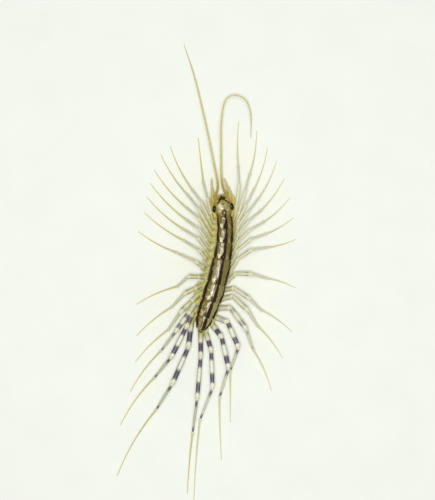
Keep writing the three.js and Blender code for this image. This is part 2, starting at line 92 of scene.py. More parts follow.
# Where the knee, the ankle and the tip of each leg stand in plan, from the first leg to the last.
# A hinge has its own place or stands at a share of the way from hip to knee, a rise sets how high
# it is between them, and a sweep curves the foot outwards.
LEFT_LEGS = [
    dict(knee=(0.5, 15.3), ankle=(-0.4, 18.8), foot=(-1.5, 28.1), sweep=0),
    dict(knee=(-0.7, 14.6), ankle=(-2.6, 17.3), foot=(-7.2, 26.4)),
    dict(knee=(-1.4, 13.4), ankle=(-3.5, 16.2), foot=(-9.1, 24.6)),
    dict(knee=(-1.2, 11.4), ankle=(-3.7, 13.6), foot=(-10.4, 21.4)),
    dict(knee=(-1.1, 9.2), ankle=(-3.8, 11.2), foot=(-11.2, 18.7)),
    dict(knee=(-1.3, 7.4), ankle=(-4.6, 9.4), foot=(-11.9, 15.9)),
    dict(knee=(-1.1, 5.0), ankle=(-4.3, 7.0), foot=(-12.4, 12.7)),
    dict(knee=(-1.7, 2.7), ankle=(-5.9, 4.6), foot=(-13.7, 8.9)),
    dict(knee=(-3.3, -0.2), ankle=(-5.7, -2.3), foot=(-14.1, -6.0)),
    dict(knee=(-4.1, -3.6), ankle=(-6.8, -6.5), foot=(-14.0, -12.4)),
    dict(knee=(-4.9, -7.3), ankle=(-7.5, -11.1), foot=(-14.3, -17.8)),
    dict(knee=(-5.8, -11.1), ankle=(-9.0, -15.4), foot=(-15.3, -23.8)),
    dict(hinge=(-3.8, -10.4), knee=(-6.8, -16.4), ankle=(-10.4, -20.9), foot=(-17.4, -30.7), rise=0.8),
    dict(hinge=(-3.4, -14.5), knee=(-6.6, -21.8), ankle=(-10.0, -27.4), foot=(-18.1, -41.2), rise=0.5),
    dict(hinge=(-0.9, -16.3), knee=(-1.6, -24.6), ankle=(-2.6, -32.2), foot=(-3.7, -44.7), sweep=0.01),
]
RIGHT_LEGS = [
    dict(knee=(6.8, 18.0), ankle=(6.7, 22.0), foot=(6.8, 31.3), sweep=-0.02),
    dict(hinge=(6.8, 12.7), knee=(8.0, 16.9), ankle=(9.0, 20.4), foot=(10.5, 29.4)),
    dict(hinge=(6.7, 11.2), knee=(8.1, 13.9), ankle=(9.8, 17.2), foot=(12.7, 25.9)),
    dict(hinge=(6.6, 9.8), knee=(8.5, 12.5), ankle=(10.7, 15.4), foot=(14.6, 23.3)),
    dict(hinge=(6.7, 8.4), knee=(8.6, 10.8), ankle=(11.3, 13.1), foot=(16.2, 19.8)),
    dict(hinge=(6.65, 6.8), knee=(8.8, 9.0), ankle=(11.8, 10.7), foot=(17.2, 15.7)),
    dict(hinge=(6.5, 5.0), knee=(9.1, 7.2), ankle=(12.2, 8.3), foot=(18.0, 11.7)),
    dict(hinge=(6.6, 3.3), knee=(9.2, 5.1), ankle=(12.5, 5.6), foot=(18.5, 7.3)),
    dict(hinge=(6.2, 0.4), knee=(9.2, 0.3), ankle=(12.4, -0.6), foot=(18.4, -2.6), rise=0.55),
    dict(hinge=(5.8, -2.6), knee=(8.8, -4.6), ankle=(11.4, -7.1), foot=(17.6, -11.5)),
    dict(hinge=(5.6, -4.2), knee=(8.5, -6.9), ankle=(10.6, -10.3), foot=(15.8, -17.0), rise=0.5),
    dict(hinge=(5.1, -6.5), knee=(8.2, -10.7), ankle=(9.7, -15.1), foot=(13.5, -23.6)),
    dict(hinge=(4.5, -9.4), knee=(6.7, -14.4), ankle=(5.1, -19.4), foot=(5.1, -30.1), sweep=0),
    dict(hinge=(3.3, -12.4), knee=(4.7, -18.5), ankle=(2.9, -24.8), foot=(3.3, -37.9), sweep=-0.01),
    dict(hinge=(1.2, -15.1), knee=(1.5, -22.5), ankle=(-1.1, -29.5), foot=(-2.4, -47.2), sweep=-0.01),
]

# Feelers and mouthparts: where they grow from the head, and their places and heights, root first
ANTENNA_ROOT = dict(station=0.75, angle=0.66, lean=0.6)
LEFT_ANTENNA = [
    (2.45, 17.1, 5.5), (2.5, 18.6, 5.4), (1.8, 22.3, 5.6), (0.0, 31.0, 5.6), (-2.3, 40.7, 3.0),
    (-4.4, 47.2, 0.5),
]
RIGHT_ANTENNA = [
    (3.85, 17.1, 5.5), (3.4, 18.7, 5.4), (3.2, 25.3, 6.0), (3.3, 31.6, 7.0), (4.2, 35.3, 7.3),
    (5.8, 36.2, 7.2), (8.0, 35.4, 6.4), (9.1, 33.0, 5.2), (9.3, 28.0, 1.4),
]
PALP_ROOT = dict(station=0.95, angle=-0.3, lean=0.5)
LEFT_PALP = [(1.5, 16.5, 3.75), (1.4, 17.7, 3.75), (1.25, 19.7, 3.5)]
RIGHT_PALP = [(4.95, 16.7, 3.75), (4.4, 18.1, 3.75), (3.8, 19.7, 3.5)]

# A poison claw from its root to its tip, as station, distance from the middle line and height
CLAW_LINE = [
    (4.6, 1.35, -1.65), (2.6, 2.15, -1.6), (1.1, 2.3, -1.55), (0.1, 1.6, -1.6), (-0.1, 0.55, -1.65),
]

EYE_STATION = 2.75
EYE_ACROSS = 1.78
EYE_HEIGHT = 0.35
EYE_HALF_SIZE = (0.42, 0.75, 0.55)
EYE_TURN = 0.15
EYE_LENSES = 320
EYE_ROWS = 90
EYE_COLUMNS = 120

# Camera and light: the photo is 435 by 500 pixels, 0.205 mm each at the floor
VIEW_HEIGHT = 102.5
CAMERA_HEIGHT = 350.0
CAMERA_PLACE = (2.48, 5.125)
SENSOR = 36.0
ROOM_LIGHT = 0.39
ROOM_COLOUR = (0.96, 1.0, 0.95, 1)
LAMP_COLOUR = (1.0, 0.99, 0.97)

# In metres: half the floor's width, then each lamp's size, power, share of it that shines on gloss, and
# place, and the place that both lamps face
FLOOR_HALF_WIDTH = 0.6
LAMPS = {
    "key": (0.03, 0.4, 0.3, (-0.006, -0.016, 0.42)),
    "fill": (0.07, 0.7, 0.08, (0.006, 0.01, 0.42)),
}
LAMP_AIM = (0.001, 0.002, 0.004)


def lerp(low, high, share):
    return low + (high - low) * share


def clamp(value, low=0.0, high=1.0):
    return min(max(value, low), high)


def smooth(value, low, high):
    share = clamp((value - low) / (high - low))
    return share * share * (3 - 2 * share)


def bell(value, middle, width):
    return exp(-(((value - middle) / width) ** 2))


def window(value, low, high, soft_low, soft_high):
    """1 between low and high, with its own soft edge on each side."""
    rise = smooth(value, low - soft_low, low + soft_low)
    return rise * (1 - smooth(value, high - soft_high, high + soft_high))


def grain(place, scale, seed=0.0):
    """Smooth noise between -1 and 1 at a place in millimetres."""
    return noise.noise(place * scale + Vector((seed, -seed, 2 * seed)))


# Body directions

def lengths_along(points):
    """Length of a line of points from its start to each of them."""
    reached = [0.0]
    for before, after in zip(points, points[1:]):
        reached.append(reached[-1] + (after - before).length)
    return reached


def find_length(reached, wanted):
    """The step of a line in which a length falls, and the share of that step."""
    at = min(bisect_right(reached, wanted), len(reached) - 1) - 1
    return at, (wanted - reached[at]) / (reached[at + 1] - reached[at])


def bezier(t):
    weights = ((1 - t) ** 3, 3 * t * (1 - t) ** 2, 3 * t * t * (1 - t), t**3)
    x, y = (sum(weight * guide[axis] for weight, guide in zip(weights, BODY_LINE)) for axis in (0, 1))
    return Vector((x, y, BODY_HEIGHT))


LINE_STEPS = 400
LINE_LENGTHS = lengths_along([bezier(step / LINE_STEPS) for step in range(LINE_STEPS + 1)])

frames_made = {}


def body_frame(station):
    """Origin, back, right and up at a station, rolled so that the left flank shows."""
    key = round(station, 3)
    if key not in frames_made:
        at, part = find_length(LINE_LENGTHS, clamp(station / BODY_LENGTH) * LINE_LENGTHS[-1])
        t = (at + part) / LINE_STEPS
        back = (bezier(t + 1e-4) - bezier(t - 1e-4)).normalized()
        fade = lerp(1, TAIL_ROLL_SHARE, smooth(station, 19, 26))
        roll = BODY_ROLL * smooth(station, 1, HEAD_LENGTH + 4) * fade
        right = UP.cross(back) * cos(roll) - UP * sin(roll)
        frames_made[key] = (bezier(t), back, right, back.cross(right))
    return frames_made[key]


def body_point(station, across, height):
    origin, _, right, up = body_frame(station)
    return origin + right * across + up * height


def trunk_taper(station):
    share = clamp((station - NECK) / (TRUNK_END - NECK))
    return (1 - 0.2 * (1 - share) ** 3) * (1 - 0.24 * share**3)


def trunk_point(station, angle):
    size = trunk_taper(station)
    across = cos(angle) * TRUNK_HALF_WIDTH * size
    return body_point(station, across, sin(angle) * TRUNK_HALF_HEIGHT * size)


# Meshes

class Shape:
    """A mesh in the making: points in millimetres, faces, and named marks at each point."""

    def __init__(self, *names):
        self.names = names
        self.points = []
        self.faces = []
        self.values = []

    def point(self, place, values):
        self.points.append(place)
        self.values.append(values)
        return len(self.points) - 1

    def band(self, before, after):
        count = len(before)
        for side in range(count):
            other = (side + 1) % count
            self.faces.append((before[side], before[other], after[other], after[side]))

    def fan(self, ring, tip):
        for side, corner in enumerate(ring):
            self.faces.append((corner, ring[(side + 1) % len(ring)], tip))

    def tube(self, rings, start, end):
        """Joins rings of point numbers, closed by the points start and end."""
        self.fan(rings[0], start)
        for before, after in zip(rings, rings[1:]):
            self.band(before, after)
        self.fan(rings[-1], end)


def turns_of(count):
    """Even turns around a full circle."""
    return [2 * pi * number / count for number in range(count)]


def circle(count):
    return [(cos(turn), sin(turn)) for turn in turns_of(count)]


def ring_of(shape, center, right, up, radius, sides, values, ridge=0.0, flat=1.0):
    """A ring of points; its marks are given, or made from how far each point is aside and up."""
    ring = []
    for angle in turns_of(sides):
        x, z = cos(angle), sin(angle)
        reach = radius * (1 + ridge * cos(5 * angle + 0.5 * pi))
        marks = values(abs(x), z) if callable(values) else values
        ring.append(shape.point(center + right * (x * reach) + up * (z * reach * flat), marks))
    return ring


def turned(right, up, angle):
    """The direction at an angle counted from right towards up."""
    return right * cos(angle) + up * sin(angle)


SPINE_CORNERS = circle(3)


def add_spine(shape, root, direction, length, radius, values):
    """A small straight bristle, its base sunk a little below its root."""
    aside = direction.orthogonal().normalized()
    over = direction.cross(aside).normalized()
    sunk = root - direction * (0.15 * length)
    ring = [shape.point(sunk + (aside * x + over * z) * radius, values) for x, z in SPINE_CORNERS]
    shape.fan(ring, shape.point(root + direction * length, values))
    shape.faces.append(tuple(reversed(ring)))


def add_hair(shape, frame_of, depth, forward, lengths, radius, values, draw):
    """A bristle that stands out of a limb at a drawn turn and leans towards its tip."""
    place, heading, right, up = frame_of
    turn = draw.uniform(0, 2 * pi)
    out = turned(right, up, turn)
    lean = (out + heading * forward).normalized()
    add_spine(shape, place + out * depth, lean, draw.uniform(*lengths), radius, values)


def add_spur(shape, root, direction, bend, length, radius, values, steps=6, sides=7):
    """A curved thorn that tapers to its tip."""
    rings = []
    for step in range(steps):
        share = step / steps
        place = root + direction * (length * (share - 0.12)) + bend * (0.35 * length * share * share)
        heading = (direction + bend * (0.7 * share)).normalized()
        aside = heading.orthogonal().normalized()
        size = radius * (1 - share) ** 0.8
        rings.append(ring_of(shape, place, aside, heading.cross(aside), size, sides, values))
    start = shape.point(root - direction * (0.2 * length), values)
    tip = shape.point(root + direction * length + bend * (0.42 * length), values)
    shape.tube(rings, start, tip)


def add_blob(shape, center, right, back, up, sizes, values, across=20, along=14):
    """An egg with its own three half sizes."""
    wide, long, high = sizes
    rings = []
    for row in range(1, along):
        tilt = pi * row / along
        middle, size = center - back * (cos(tilt) * long), sin(tilt)
        points = [middle + (right * (x * wide) + up * (z * high)) * size for x, z in circle(across)]
        rings.append([shape.point(place, values) for place in points])
    start, end = (shape.point(center + back * reach, values) for reach in (-long, long))
    shape.tube(rings, start, end)


def sided(name, side):
    return f"{name}_{'left' if side < 0 else 'right'}"


def make_piece(name, shape, material, slot, *nodes):
    mesh = bpy.data.meshes.new(name)
    mesh.from_pydata([place * MM for place in shape.points], [], shape.faces)
    for number, mark in enumerate(shape.names):
        layer = mesh.attributes.new(mark, "FLOAT", "POINT")
        layer.data.foreach_set("value", [values[number] for values in shape.values])
    work = bmesh.new()
    work.from_mesh(mesh)
    bmesh.ops.recalc_face_normals(work, faces=work.faces)
    work.to_mesh(mesh)
    work.free()
    mesh.polygons.foreach_set("use_smooth", [True] * len(mesh.polygons))
    mesh.materials.append(material)
    piece = bpy.data.objects.new(name, mesh)
    bpy.context.scene.collection.objects.link(piece)
    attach(piece, "root")
    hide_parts(*nodes)


# Finishes

def colour(red, green, blue):
    """Linear colour of an sRGB one that counts to 255."""
    parts = []
    for part in (red, green, blue):
        share = part / 255
        parts.append(share / 12.92 if share <= 0.04045 else ((share + 0.055) / 1.055) ** 2.4)
    return (*parts, 1.0)


class Finish:
    """A material in the making, built on one Principled shader."""

    def __init__(self, name, roughness, scatter=0.0, specular=0.35):
        self.material = bpy.data.materials.new(name)
        self.material.use_nodes = True
        self.tree = self.material.node_tree
        self.shader = self.tree.nodes["Principled BSDF"]
        for socket, value in (
            ("Roughness", roughness), ("Specular IOR Level", specular), ("Subsurface Weight", scatter),
            ("Subsurface Radius", (1.0, 0.8, 0.45)), ("Subsurface Scale", 0.0005),
        ):
            self.shader.inputs[socket].default_value = value
        self.place = self.tree.nodes.new("ShaderNodeTexCoord").outputs["Object"]

    def node(self, kind, links, constants=()):
        """A new node, fed by other nodes' outputs and by constants."""
        node = self.tree.nodes.new(kind)
        for socket, value in constants:
            node.inputs[socket].default_value = value
        for socket, output in links:
            self.tree.links.new(output, node.inputs[socket])
        return node

    def mark(self, name):
        node = self.node("ShaderNodeAttribute", ())
        node.attribute_name = name
        return node.outputs["Fac"]

    def speckle(self, size, low, high, detail=3.0):
        """Noise with features of a size in millimetres, spread between low and high."""
        scale = (("Scale", 1 / (size * MM)), ("Detail", detail))
        fine = self.node("ShaderNodeTexNoise", [("Vector", self.place)], scale)
        ends = (("From Min", 0.3), ("From Max", 0.7), ("To Min", low), ("To Max", high))
        return self.node("ShaderNodeMapRange", [("Value", fine.outputs["Fac"])], ends).outputs["Result"]

    def broken(self, name, low, high):
        """A mark that fine noise weakens to low and strengthens to high."""
        node = self.node("ShaderNodeMath", [(0, self.mark(name)), (1, self.speckle(0.25, low, high))])
        node.operation = "MULTIPLY"
        node.use_clamp = True
        return node.outputs["Value"]

    def mix(self, factor, first, second):
        """From the first colour to the second; a colour is a node's output or sRGB numbers."""
        node = self.tree.nodes.new("ShaderNodeMix")
        node.data_type = "RGBA"
        given = {"Factor": factor, "A": first, "B": second}
        for socket in node.inputs:
            if not socket.enabled or socket.name not in given:
                continue
            value = given[socket.name]
            if isinstance(value, tuple):
                socket.default_value = colour(*value)
            else:
                self.tree.links.new(value, socket)
        return next(socket for socket in node.outputs if socket.enabled)

    def patches(self, size, first, second):
        """Two colours that mix in patches of a size."""
        return self.mix(self.speckle(size, 0, 1), first, second)

    def over(self, mark, under, colour_there):
        """A colour laid over another where a mark is."""
        return self.mix(self.mark(mark), under, colour_there)

    def done(self, skin, gloss=None, relief=None, gloss_size=0.3):
        """The material with its colour, least and most roughness, and relief's size, detail and depth."""
        self.tree.links.new(skin, self.shader.inputs["Base Color"])
        if gloss:
            self.tree.links.new(self.speckle(gloss_size, *gloss), self.shader.inputs["Roughness"])
        if relief:
            size, detail, depth = relief
            height = self.speckle(size, 0, 1, detail)
            reach = (("Strength", 1.0), ("Distance", depth * MM))
            node = self.node("ShaderNodeBump", [("Height", height)], reach)
            self.tree.links.new(node.outputs["Normal"], self.shader.inputs["Normal"])
        return self.material


def shell_finish():
    finish = Finish("olive_shell", 0.28, specular=0.3)
    panel = finish.patches(0.9, (112, 98, 44), (138, 122, 62))
    panel = finish.mix(finish.speckle(0.16, 0, 0.4), panel, (96, 82, 40))
    # Pale wedges and patches together with painted sheen over the left panel, then near-white painted glints
    # of highlight
    panel = finish.mix(finish.broken("pale", 0.7, 1.15), panel, (224, 222, 168))
    panel = finish.over("glint", panel, (244, 243, 230))
    ink = finish.patches(0.2, (26, 14, 9), (58, 38, 24))
    return finish.done(finish.over("dark", panel, ink), (0.06, 0.14), (0.26, 2.0, 0.018))


def trunk_finish():
    finish = Finish("flank_skin", 0.42, 0.08)
    skin = finish.patches(0.7, (208, 197, 98), (224, 214, 126))
    skin = finish.mix(finish.speckle(0.3, 0, 0.75), skin, (158, 148, 78))
    # Pale: painted highlights on the hip lobes; dark: painted shade in furrows, folds and under the plates
    skin = finish.over("pale", skin, (238, 234, 190))
    return finish.done(finish.over("dark", skin, (128, 112, 60)), (0.3, 0.55), (0.1, 5.0, 0.012))


def head_finish():
    finish = Finish("head_shell", 0.24)
    skin = finish.patches(0.8, (142, 125, 50), (166, 149, 74))
    skin = finish.over("warm", skin, (176, 158, 72))
    # Pale: pale patches and painted highlights
    skin = finish.over("pale", skin, (222, 216, 168))
    ink = finish.patches(0.25, (26, 16, 11), (60, 40, 26))
    return finish.done(finish.over("dark", skin, ink), (0.15, 0.3), (0.3, 3.0, 0.01), gloss_size=0.35)


def eye_finish():
    finish = Finish("faceted_eye", 0.12)
    return finish.done(finish.over("rim", (8, 8, 8), (40, 38, 32)), (0.1, 0.2))


def feeler_finish():
    finish = Finish("golden_feeler", 0.42, 0.08)
    skin = finish.patches(0.5, (226, 211, 108), (236, 225, 138))
    skin = finish.over("warm", skin, (178, 154, 62))
    return finish.done(finish.over("dark", skin, (136, 116, 54)), (0.34, 0.52))


def mouth_finish():
    finish = Finish("mouthpart_shell", 0.34, 0.08)
    skin = finish.patches(0.6, (194, 172, 76), (216, 197, 104))
    skin = finish.over("pale", skin, (226, 214, 142))
    return finish.done(finish.over("dark", skin, (70, 46, 26)), (0.26, 0.46), (0.1, 5.0, 0.008))


def leg_finish():
    finish = Finish("banded_leg", 0.38, 0.08, 0.3)
    skin = finish.patches(0.6, (241, 242, 225), (248, 249, 238))
    skin = finish.over("warm", skin, (220, 210, 112))
    # Olive along the two sides: the leg's side lines, and partly painted shade of a clear tube's rim
    skin = finish.over("olive", skin, (132, 128, 66))
    ink = finish.patches(0.5, (44, 24, 66), (66, 44, 90))
    skin = finish.mix(finish.broken("dark", 0.88, 1.12), skin, ink)
    return finish.done(skin, (0.3, 0.5), (0.09, 4.0, 0.005))


def floor_finish():
    finish = Finish("pale_floor", 0.75)
    return finish.done(finish.patches(9.0, (244, 246, 240), (247, 249, 243)))


# Back plates

PLATE_COLUMNS = 84
PLATE_ROWS = 60
PLATE_LIP = 0.16
PLATE_TUCK = 0.35
RIM_BRISTLE_STEP = 0.16
REAR_BRISTLES = 24
PLATE_BRISTLES_PER_MM = 26

# Looks of the plates from the first to the last: width of the dark margin, how strong the painted glints of
# highlight and the painted sheen are on the panel left of the mid stripe, and how pale the wedge beside the
# spot is
MARGINS = (0.34, 0.38, 0.46, 0.56, 0.6, 0.6, 0.52, 0.34)
GLINTS = (0.25, 0.35, 0.4, 0.45, 0.45, 0.45, 0.4, 0.0)
PAINTED_SHEENS = (0.0, 0.05, 0.12, 0.36, 0.6, 0.7, 0.65, 0.4)
WEDGES = (1, 1, 1, 1, 0.9, 0.6, 0.4, 0.0)
WEDGE_ACROSS = -0.82
SPOTTED_PLATES = 6


def plate_place(index, side, share):
    """Station, distance across and height of a plate's top, side -1 to 1 across it, share front to rear."""
    length, wide, rear_wide, pairs = TERGITES[index]
    rear = length - GAP + PLATE_LIP
    front = -PLATE_TUCK
    if pairs:
        rear -= 0.16 * wide * side**6 + 0.16 * bell(side, 0, 0.2)
        front += 0.12 * wide * side**6
    else:
        rear -= 0.5 * wide * side**2
    reach = lerp(wide, rear_wide, smooth(share, 0.3, 1))
    reach *= 0.9 + 0.1 * sin(pi * min(share * 1.2, 0.75) / 1.5)
    station = PLATE_STARTS[index] + lerp(front, rear, share)
    height = TRUNK_HALF_HEIGHT * trunk_taper(station) + GAP + TERGITE_THICKNESS
    height -= 0.17 * (side * reach) ** 2
    height += 0.15 * share**3 - 0.15 * (1 - smooth(share, 0, 0.12)) ** 2
    height += 0.08 * bell(side, 0, 0.13) * smooth(share, 0.05, 1)
    if pairs:
        height += 0.07 * bell(side, 0, 0.13) * bell(share, 0.9, 0.09)
        height -= 0.09 * bell(side, 0, 0.02) * bell(share, 0.91, 0.05)
    height += 0.05 * bell(abs(side), 0.975, 0.03) - 0.035 * bell(abs(side), 0.9, 0.04)
    height += 0.03 * bell(share, 0.965, 0.02) - 0.025 * bell(share, 0.91, 0.03) * (1 - bell(side, 0, 0.3))
    return station, side * reach, height


def plate_marks(index, side, share, place):
    """How dark, pale and bright a plate is: three stripes, a spot behind and a pale patch beside it, with
    painted sheen over the left panel and painted glints of highlight beside the mid stripe.
    """
    length, wide, rear_wide, pairs = TERGITES[index]
    half_width = lerp(wide, rear_wide, smooth(share, 0.3, 1))
    across, behind, edge = side * half_width, (1 - share) * length, (1 - abs(side)) * half_width
    wave = 0.07 * grain(place, 1.4, 3.1) + 0.06 * grain(place, 3.2, 7.7)
    half = lerp(0.2, 0.34, smooth(share, 0.05, 0.45)) + wave
    shift = 0.14 + 0.3 * smooth(PLATE_STARTS[index] + share * length, 14, 21)
    spot = exp(-(((behind - 0.3) / 0.42) ** 4)) if index < SPOTTED_PLATES else 0.0
    middle = window(across - shift, -half - 0.34 * spot, half + 0.06 * spot, 0.04, 0.04)
    band = MARGINS[index] * (lerp(1.25, 0.68, smooth(index, 1, 4)) if side > 0 else 1)
    band += 0.12 * bell(share, 0.75, 0.25) - 0.1 * bell(share, 0.08, 0.12) + 2.0 * wave
    margin = (1 - smooth(edge, band - 0.05, band + 0.05)) * smooth(edge, 0.02, 0.1)
    if not pairs:
        middle *= 1 - smooth(share, 0.4, 0.6)
        margin = max(0.9 * (1 - smooth(edge, 0.2, 0.28)), 1 - smooth(behind + wave, 0.1, 0.18))
    dark = max(middle, margin)
    # Wedge: the pale patch beside the spot on the left, partly the animal's own pale patch and partly
    # painted highlight
    wedge_half = lerp(0.1, 0.38, clamp(behind / 0.9)) + wave
    wedge = window(behind, 0.05, 0.95, 0.06, 0.25)
    wedge *= 1 - smooth(abs(across - WEDGE_ACROSS), wedge_half - 0.08, wedge_half + 0.08)
    # Painted highlight: a broken chain of near-white glints just left of the mid stripe
    glint = bell(across - shift, -half - 0.1, 0.055) * window(share, 0.1, 0.88, 0.05, 0.05)
    glint *= smooth(grain(place, 3.4, 11.0), -0.2, 0.15) * GLINTS[index]
    # Painted sheen: pale blotches over the left panel only, standing in for reflected light
    painted_sheen = smooth(grain(place, 2.0, 15.0) + 0.7 * grain(place, 5.0, 17.0), 0.1, 0.5)
    painted_sheen *= window(across, -1.45, -0.35, 0.15, 0.1) * window(share, 0.3, 0.97, 0.15, 0.02)
    patch = 0.25 * bell(across, 0.75, 0.25) * bell(behind, 0.4, 0.5)
    right_panel = 0.28 * smooth(index, 2, 6) * smooth(across, 0.3, 0.7)
    pale = max(wedge * WEDGES[index], painted_sheen * PAINTED_SHEENS[index], patch, right_panel)
    return dark, clamp(pale) * (1 - dark), glint * (1 - dark)


def plate_sheet(shape, index, under):
    """Rows of points over the top or the underside of a plate, closest together at its two sides."""
    rows = []
    swing = 0.48 * pi
    for row in range(PLATE_ROWS + 1):
        share = row / PLATE_ROWS
        line = []
        for column in range(PLATE_COLUMNS + 1):
            side = sin(swing * (2 * column / PLATE_COLUMNS - 1)) / sin(swing)
            station, across, height = plate_place(index, side, share)
            if under:
                thin = min(smooth(1 - abs(side), -0.02, 0.12), smooth(1 - share, -0.03, 0.15))
                height -= lerp(0.1, 0.36, thin)
            place = body_point(station, across, height)
            line.append(shape.point(place, plate_marks(index, side, share, place)))
        rows.append(line)
    return rows


def sheet_rim(rows):
    """The points all the way around a sheet."""
    return rows[0] + [row[-1] for row in rows[1:]] + rows[-1][-2::-1] + [row[0] for row in rows[-2:0:-1]]


def make_plate(index, material):
    shape = Shape("dark", "pale", "glint")
    sheets = [plate_sheet(shape, index, under) for under in (False, True)]
    for sheet in sheets:
        for front, rear in zip(sheet, sheet[1:]):
            for column in range(PLATE_COLUMNS):
                shape.faces.append((front[column], front[column + 1], rear[column + 1], rear[column]))
    shape.band(*(sheet_rim(sheet) for sheet in sheets))
    add_plate_bristles(shape, index)
    make_piece(f"tergite_{index + 1}_fine", shape, material, "shell_plate", f"tergite_{index + 1}")


def add_plate_bristles(shape, index):
    """Short thorns along the rim and scattered over the plate, leaning backwards."""
    draw = random.Random(40 + index)
    length = TERGITES[index][0]
    count = int(length / RIM_BRISTLE_STEP)
    spots = []
    for step in range(count):
        share = 0.1 + 0.84 * (step + 0.6 * draw.random()) / count
        spots += [(-0.985, share, 0.13), (0.985, share, 0.13)]
    for step in range(REAR_BRISTLES):
        side = lerp(-0.9, 0.9, (step + 0.4 * draw.random()) / (REAR_BRISTLES - 1))
        spots.append((side, 0.99, 0.12))
    for _ in range(int(PLATE_BRISTLES_PER_MM * length)):
        spots.append((draw.uniform(-0.85, 0.85), draw.uniform(0.15, 0.95), 0.08))
    for side, share, reach in spots:
        place = body_point(*plate_place(index, side, share))
        _, back, right, up = body_frame(PLATE_STARTS[index] + share * length)
        outward = 0.9 * side if abs(side) > 0.95 else draw.uniform(-0.15, 0.15)
        lean = (back * 0.8 + up * 0.55 + right * outward).normalized()
        values = (max(plate_marks(index, side, share, place)[0], 0.45), 0.0, 0.0)
        add_spine(shape, place, lean, reach * draw.uniform(0.7, 1.2), 0.014, values)


# Trunk: one skin over the four lengths, with a lobe at each hip

def hip_angle(right):
    return -HIP_DROP if right else pi + HIP_DROP


def hip_phase(station):
    """How far the nearest hip is, 1 or -1 being half way to its neighbour."""
    number = min(range(LAST_LEG), key=lambda hip: abs(HIPS[hip] - station))
    ahead = station < HIPS[number]
    step = HIPS[max(number, 1)] - HIPS[max(number, 1) - 1] if ahead else HIPS[number + 1] - HIPS[number]
    return 2 * (station - HIPS[number]) / step


TRUNK_SIDES = 88
TRUNK_STEP = 0.09
TRUNK_SPAN = (4.3, 28.25)


def trunk_detail(station, angle, phase, place):
    """How far the skin swells over the hips, and how dark and pale it is: painted shade in the furrows
    between hips, in the folds and on top under the plates, and painted highlights on the hip lobes.
    """
    right = cos(angle) > 0
    from_hip = remainder(angle - hip_angle(right), 2 * pi)
    flank = smooth(station, 4.6, 5.2) * (1 - smooth(station, 26.3, 27.3))
    band = bell(from_hip, 0, 0.5) * flank
    furrow = smooth(abs(phase), 0.62, 1.0) * bell(from_hip, 0.0, 0.9)
    fold = bell(from_hip if right else -from_hip, 0.62, 0.09) * (1 - 0.6 * furrow) * flank
    swell = lerp(1.35, 1.25, smooth(station, 8, 14)) * band * (1 - 0.26 * abs(phase) ** 3)
    swell += 0.03 * grain(place, 2.2, 1.7) + 0.012 * grain(place, 6.0, 4.2) - 0.05 * fold
    # Painted shade in the furrows between hips, in the fold and on top under the plates, with uneven tone
    # from noise
    dark = 0.35 * furrow + 0.3 * fold + 0.3 * smooth(sin(angle), 0.5, 0.8)
    dark += 0.15 * grain(place, 2.5, 9.0)
    # Painted highlights on the hip lobes, broken by noise
    pale = 0.9 * band * (1 - furrow) * (0.35 + 1.3 * grain(place, 2.6, 5.0))
    return swell, (clamp(dark), clamp(pale))


def trunk_skin(material):
    shape = Shape("dark", "pale")
    first, last = TRUNK_SPAN
    count = int((last - first) / TRUNK_STEP)
    rings = []
    for row in range(count + 1):
        station = lerp(first, last, row / count)
        phase = clamp(hip_phase(station), -1.5, 1.5)
        tail = smooth(station, 26.4, 27.6)
        close = sqrt(1 - clamp((station - 27.2) / 1.1) ** 2)
        close *= sqrt(1 - (1 - clamp((station - 4.25) / 0.4)) ** 2)
        size = trunk_taper(station)
        half_width = lerp(TRUNK_HALF_WIDTH * size, 0.72, tail) * close
        half_height = lerp(TRUNK_HALF_HEIGHT * size, 0.34, tail) * close
        _, _, right, up = body_frame(station)
        ring = []
        for angle in turns_of(TRUNK_SIDES):
            x, z = cos(angle), sin(angle)
            place = body_point(station, x * half_width, z * half_height + 0.5 * tail)
            swell, values = trunk_detail(station, angle, phase, place)
            out = (right * (x / TRUNK_HALF_WIDTH) + up * (z / TRUNK_HALF_HEIGHT)).normalized()
            ring.append(shape.point(place + out * (swell * close), values))
        rings.append(ring)
    start = shape.point(body_point(first - 0.02, 0, 0), (0.2, 0))
    end = shape.point(body_point(last + 0.02, 0, 0.5), (0.5, 0))
    shape.tube(rings, start, end)
    lengths = ("trunk_front", "trunk_middle", "trunk_rear", "trunk_tail")
    make_piece("trunk_skin", shape, material, "trunk", *lengths)


# Head

def head_half_width(station):
    share = station / HEAD_LENGTH
    width = 2.02 * sqrt(1 - (1 - min(share * 1.45, 1)) ** 2.2)
    return width * (1 - 0.28 * smooth(share, 0.65, 1))


def head_half_height(station):
    share = station / HEAD_LENGTH
    return 1.2 * sqrt(1 - (1 - min(share * 1.6, 1)) ** 2) * (1 - 0.12 * share)


def head_outline(station, angle):
    """Distance across and height of the head's surface."""
    x, z = cos(angle), sin(angle)
    power = 2 / 2.3
    across = copysign(abs(x) ** power, x) * head_half_width(station)
    return across, copysign(abs(z) ** power, z) * head_half_height(station)


HEAD_ROWS = 84
HEAD_SIDES = 120
HEAD_BRISTLES = 190
V_APEX = (0.5, 0.0)
V_ENDS = [(1.85, -1.0), (1.95, 1.3)]
# Low bosses at the rear of the head, as station and distance across, each with a painted highlight
BOSSES = [(3.5, -0.95), (3.3, 0.85), (3.55, 0.42)]
ANTENNA_ACROSS = 1.11


def way_out(surface, station, angle):
    """The direction out of a surface that gives a place for each station and angle."""
    step = 0.05
    along = surface(station + step, angle) - surface(station - step, angle)
    around = surface(station, angle + step) - surface(station, angle - step)
    return around.cross(along).normalized()


def head_root(side, station, angle, lean):
    """Where a limb grows from the head, its angle counted up from its own side, and its way out."""
    def surface(at, turn):
        return body_point(at, *head_outline(at, turn if side > 0 else pi - turn))

    facing = way_out(surface, station, angle) * side - body_frame(station)[1] * lean
    return surface(station, angle), facing.normalized()


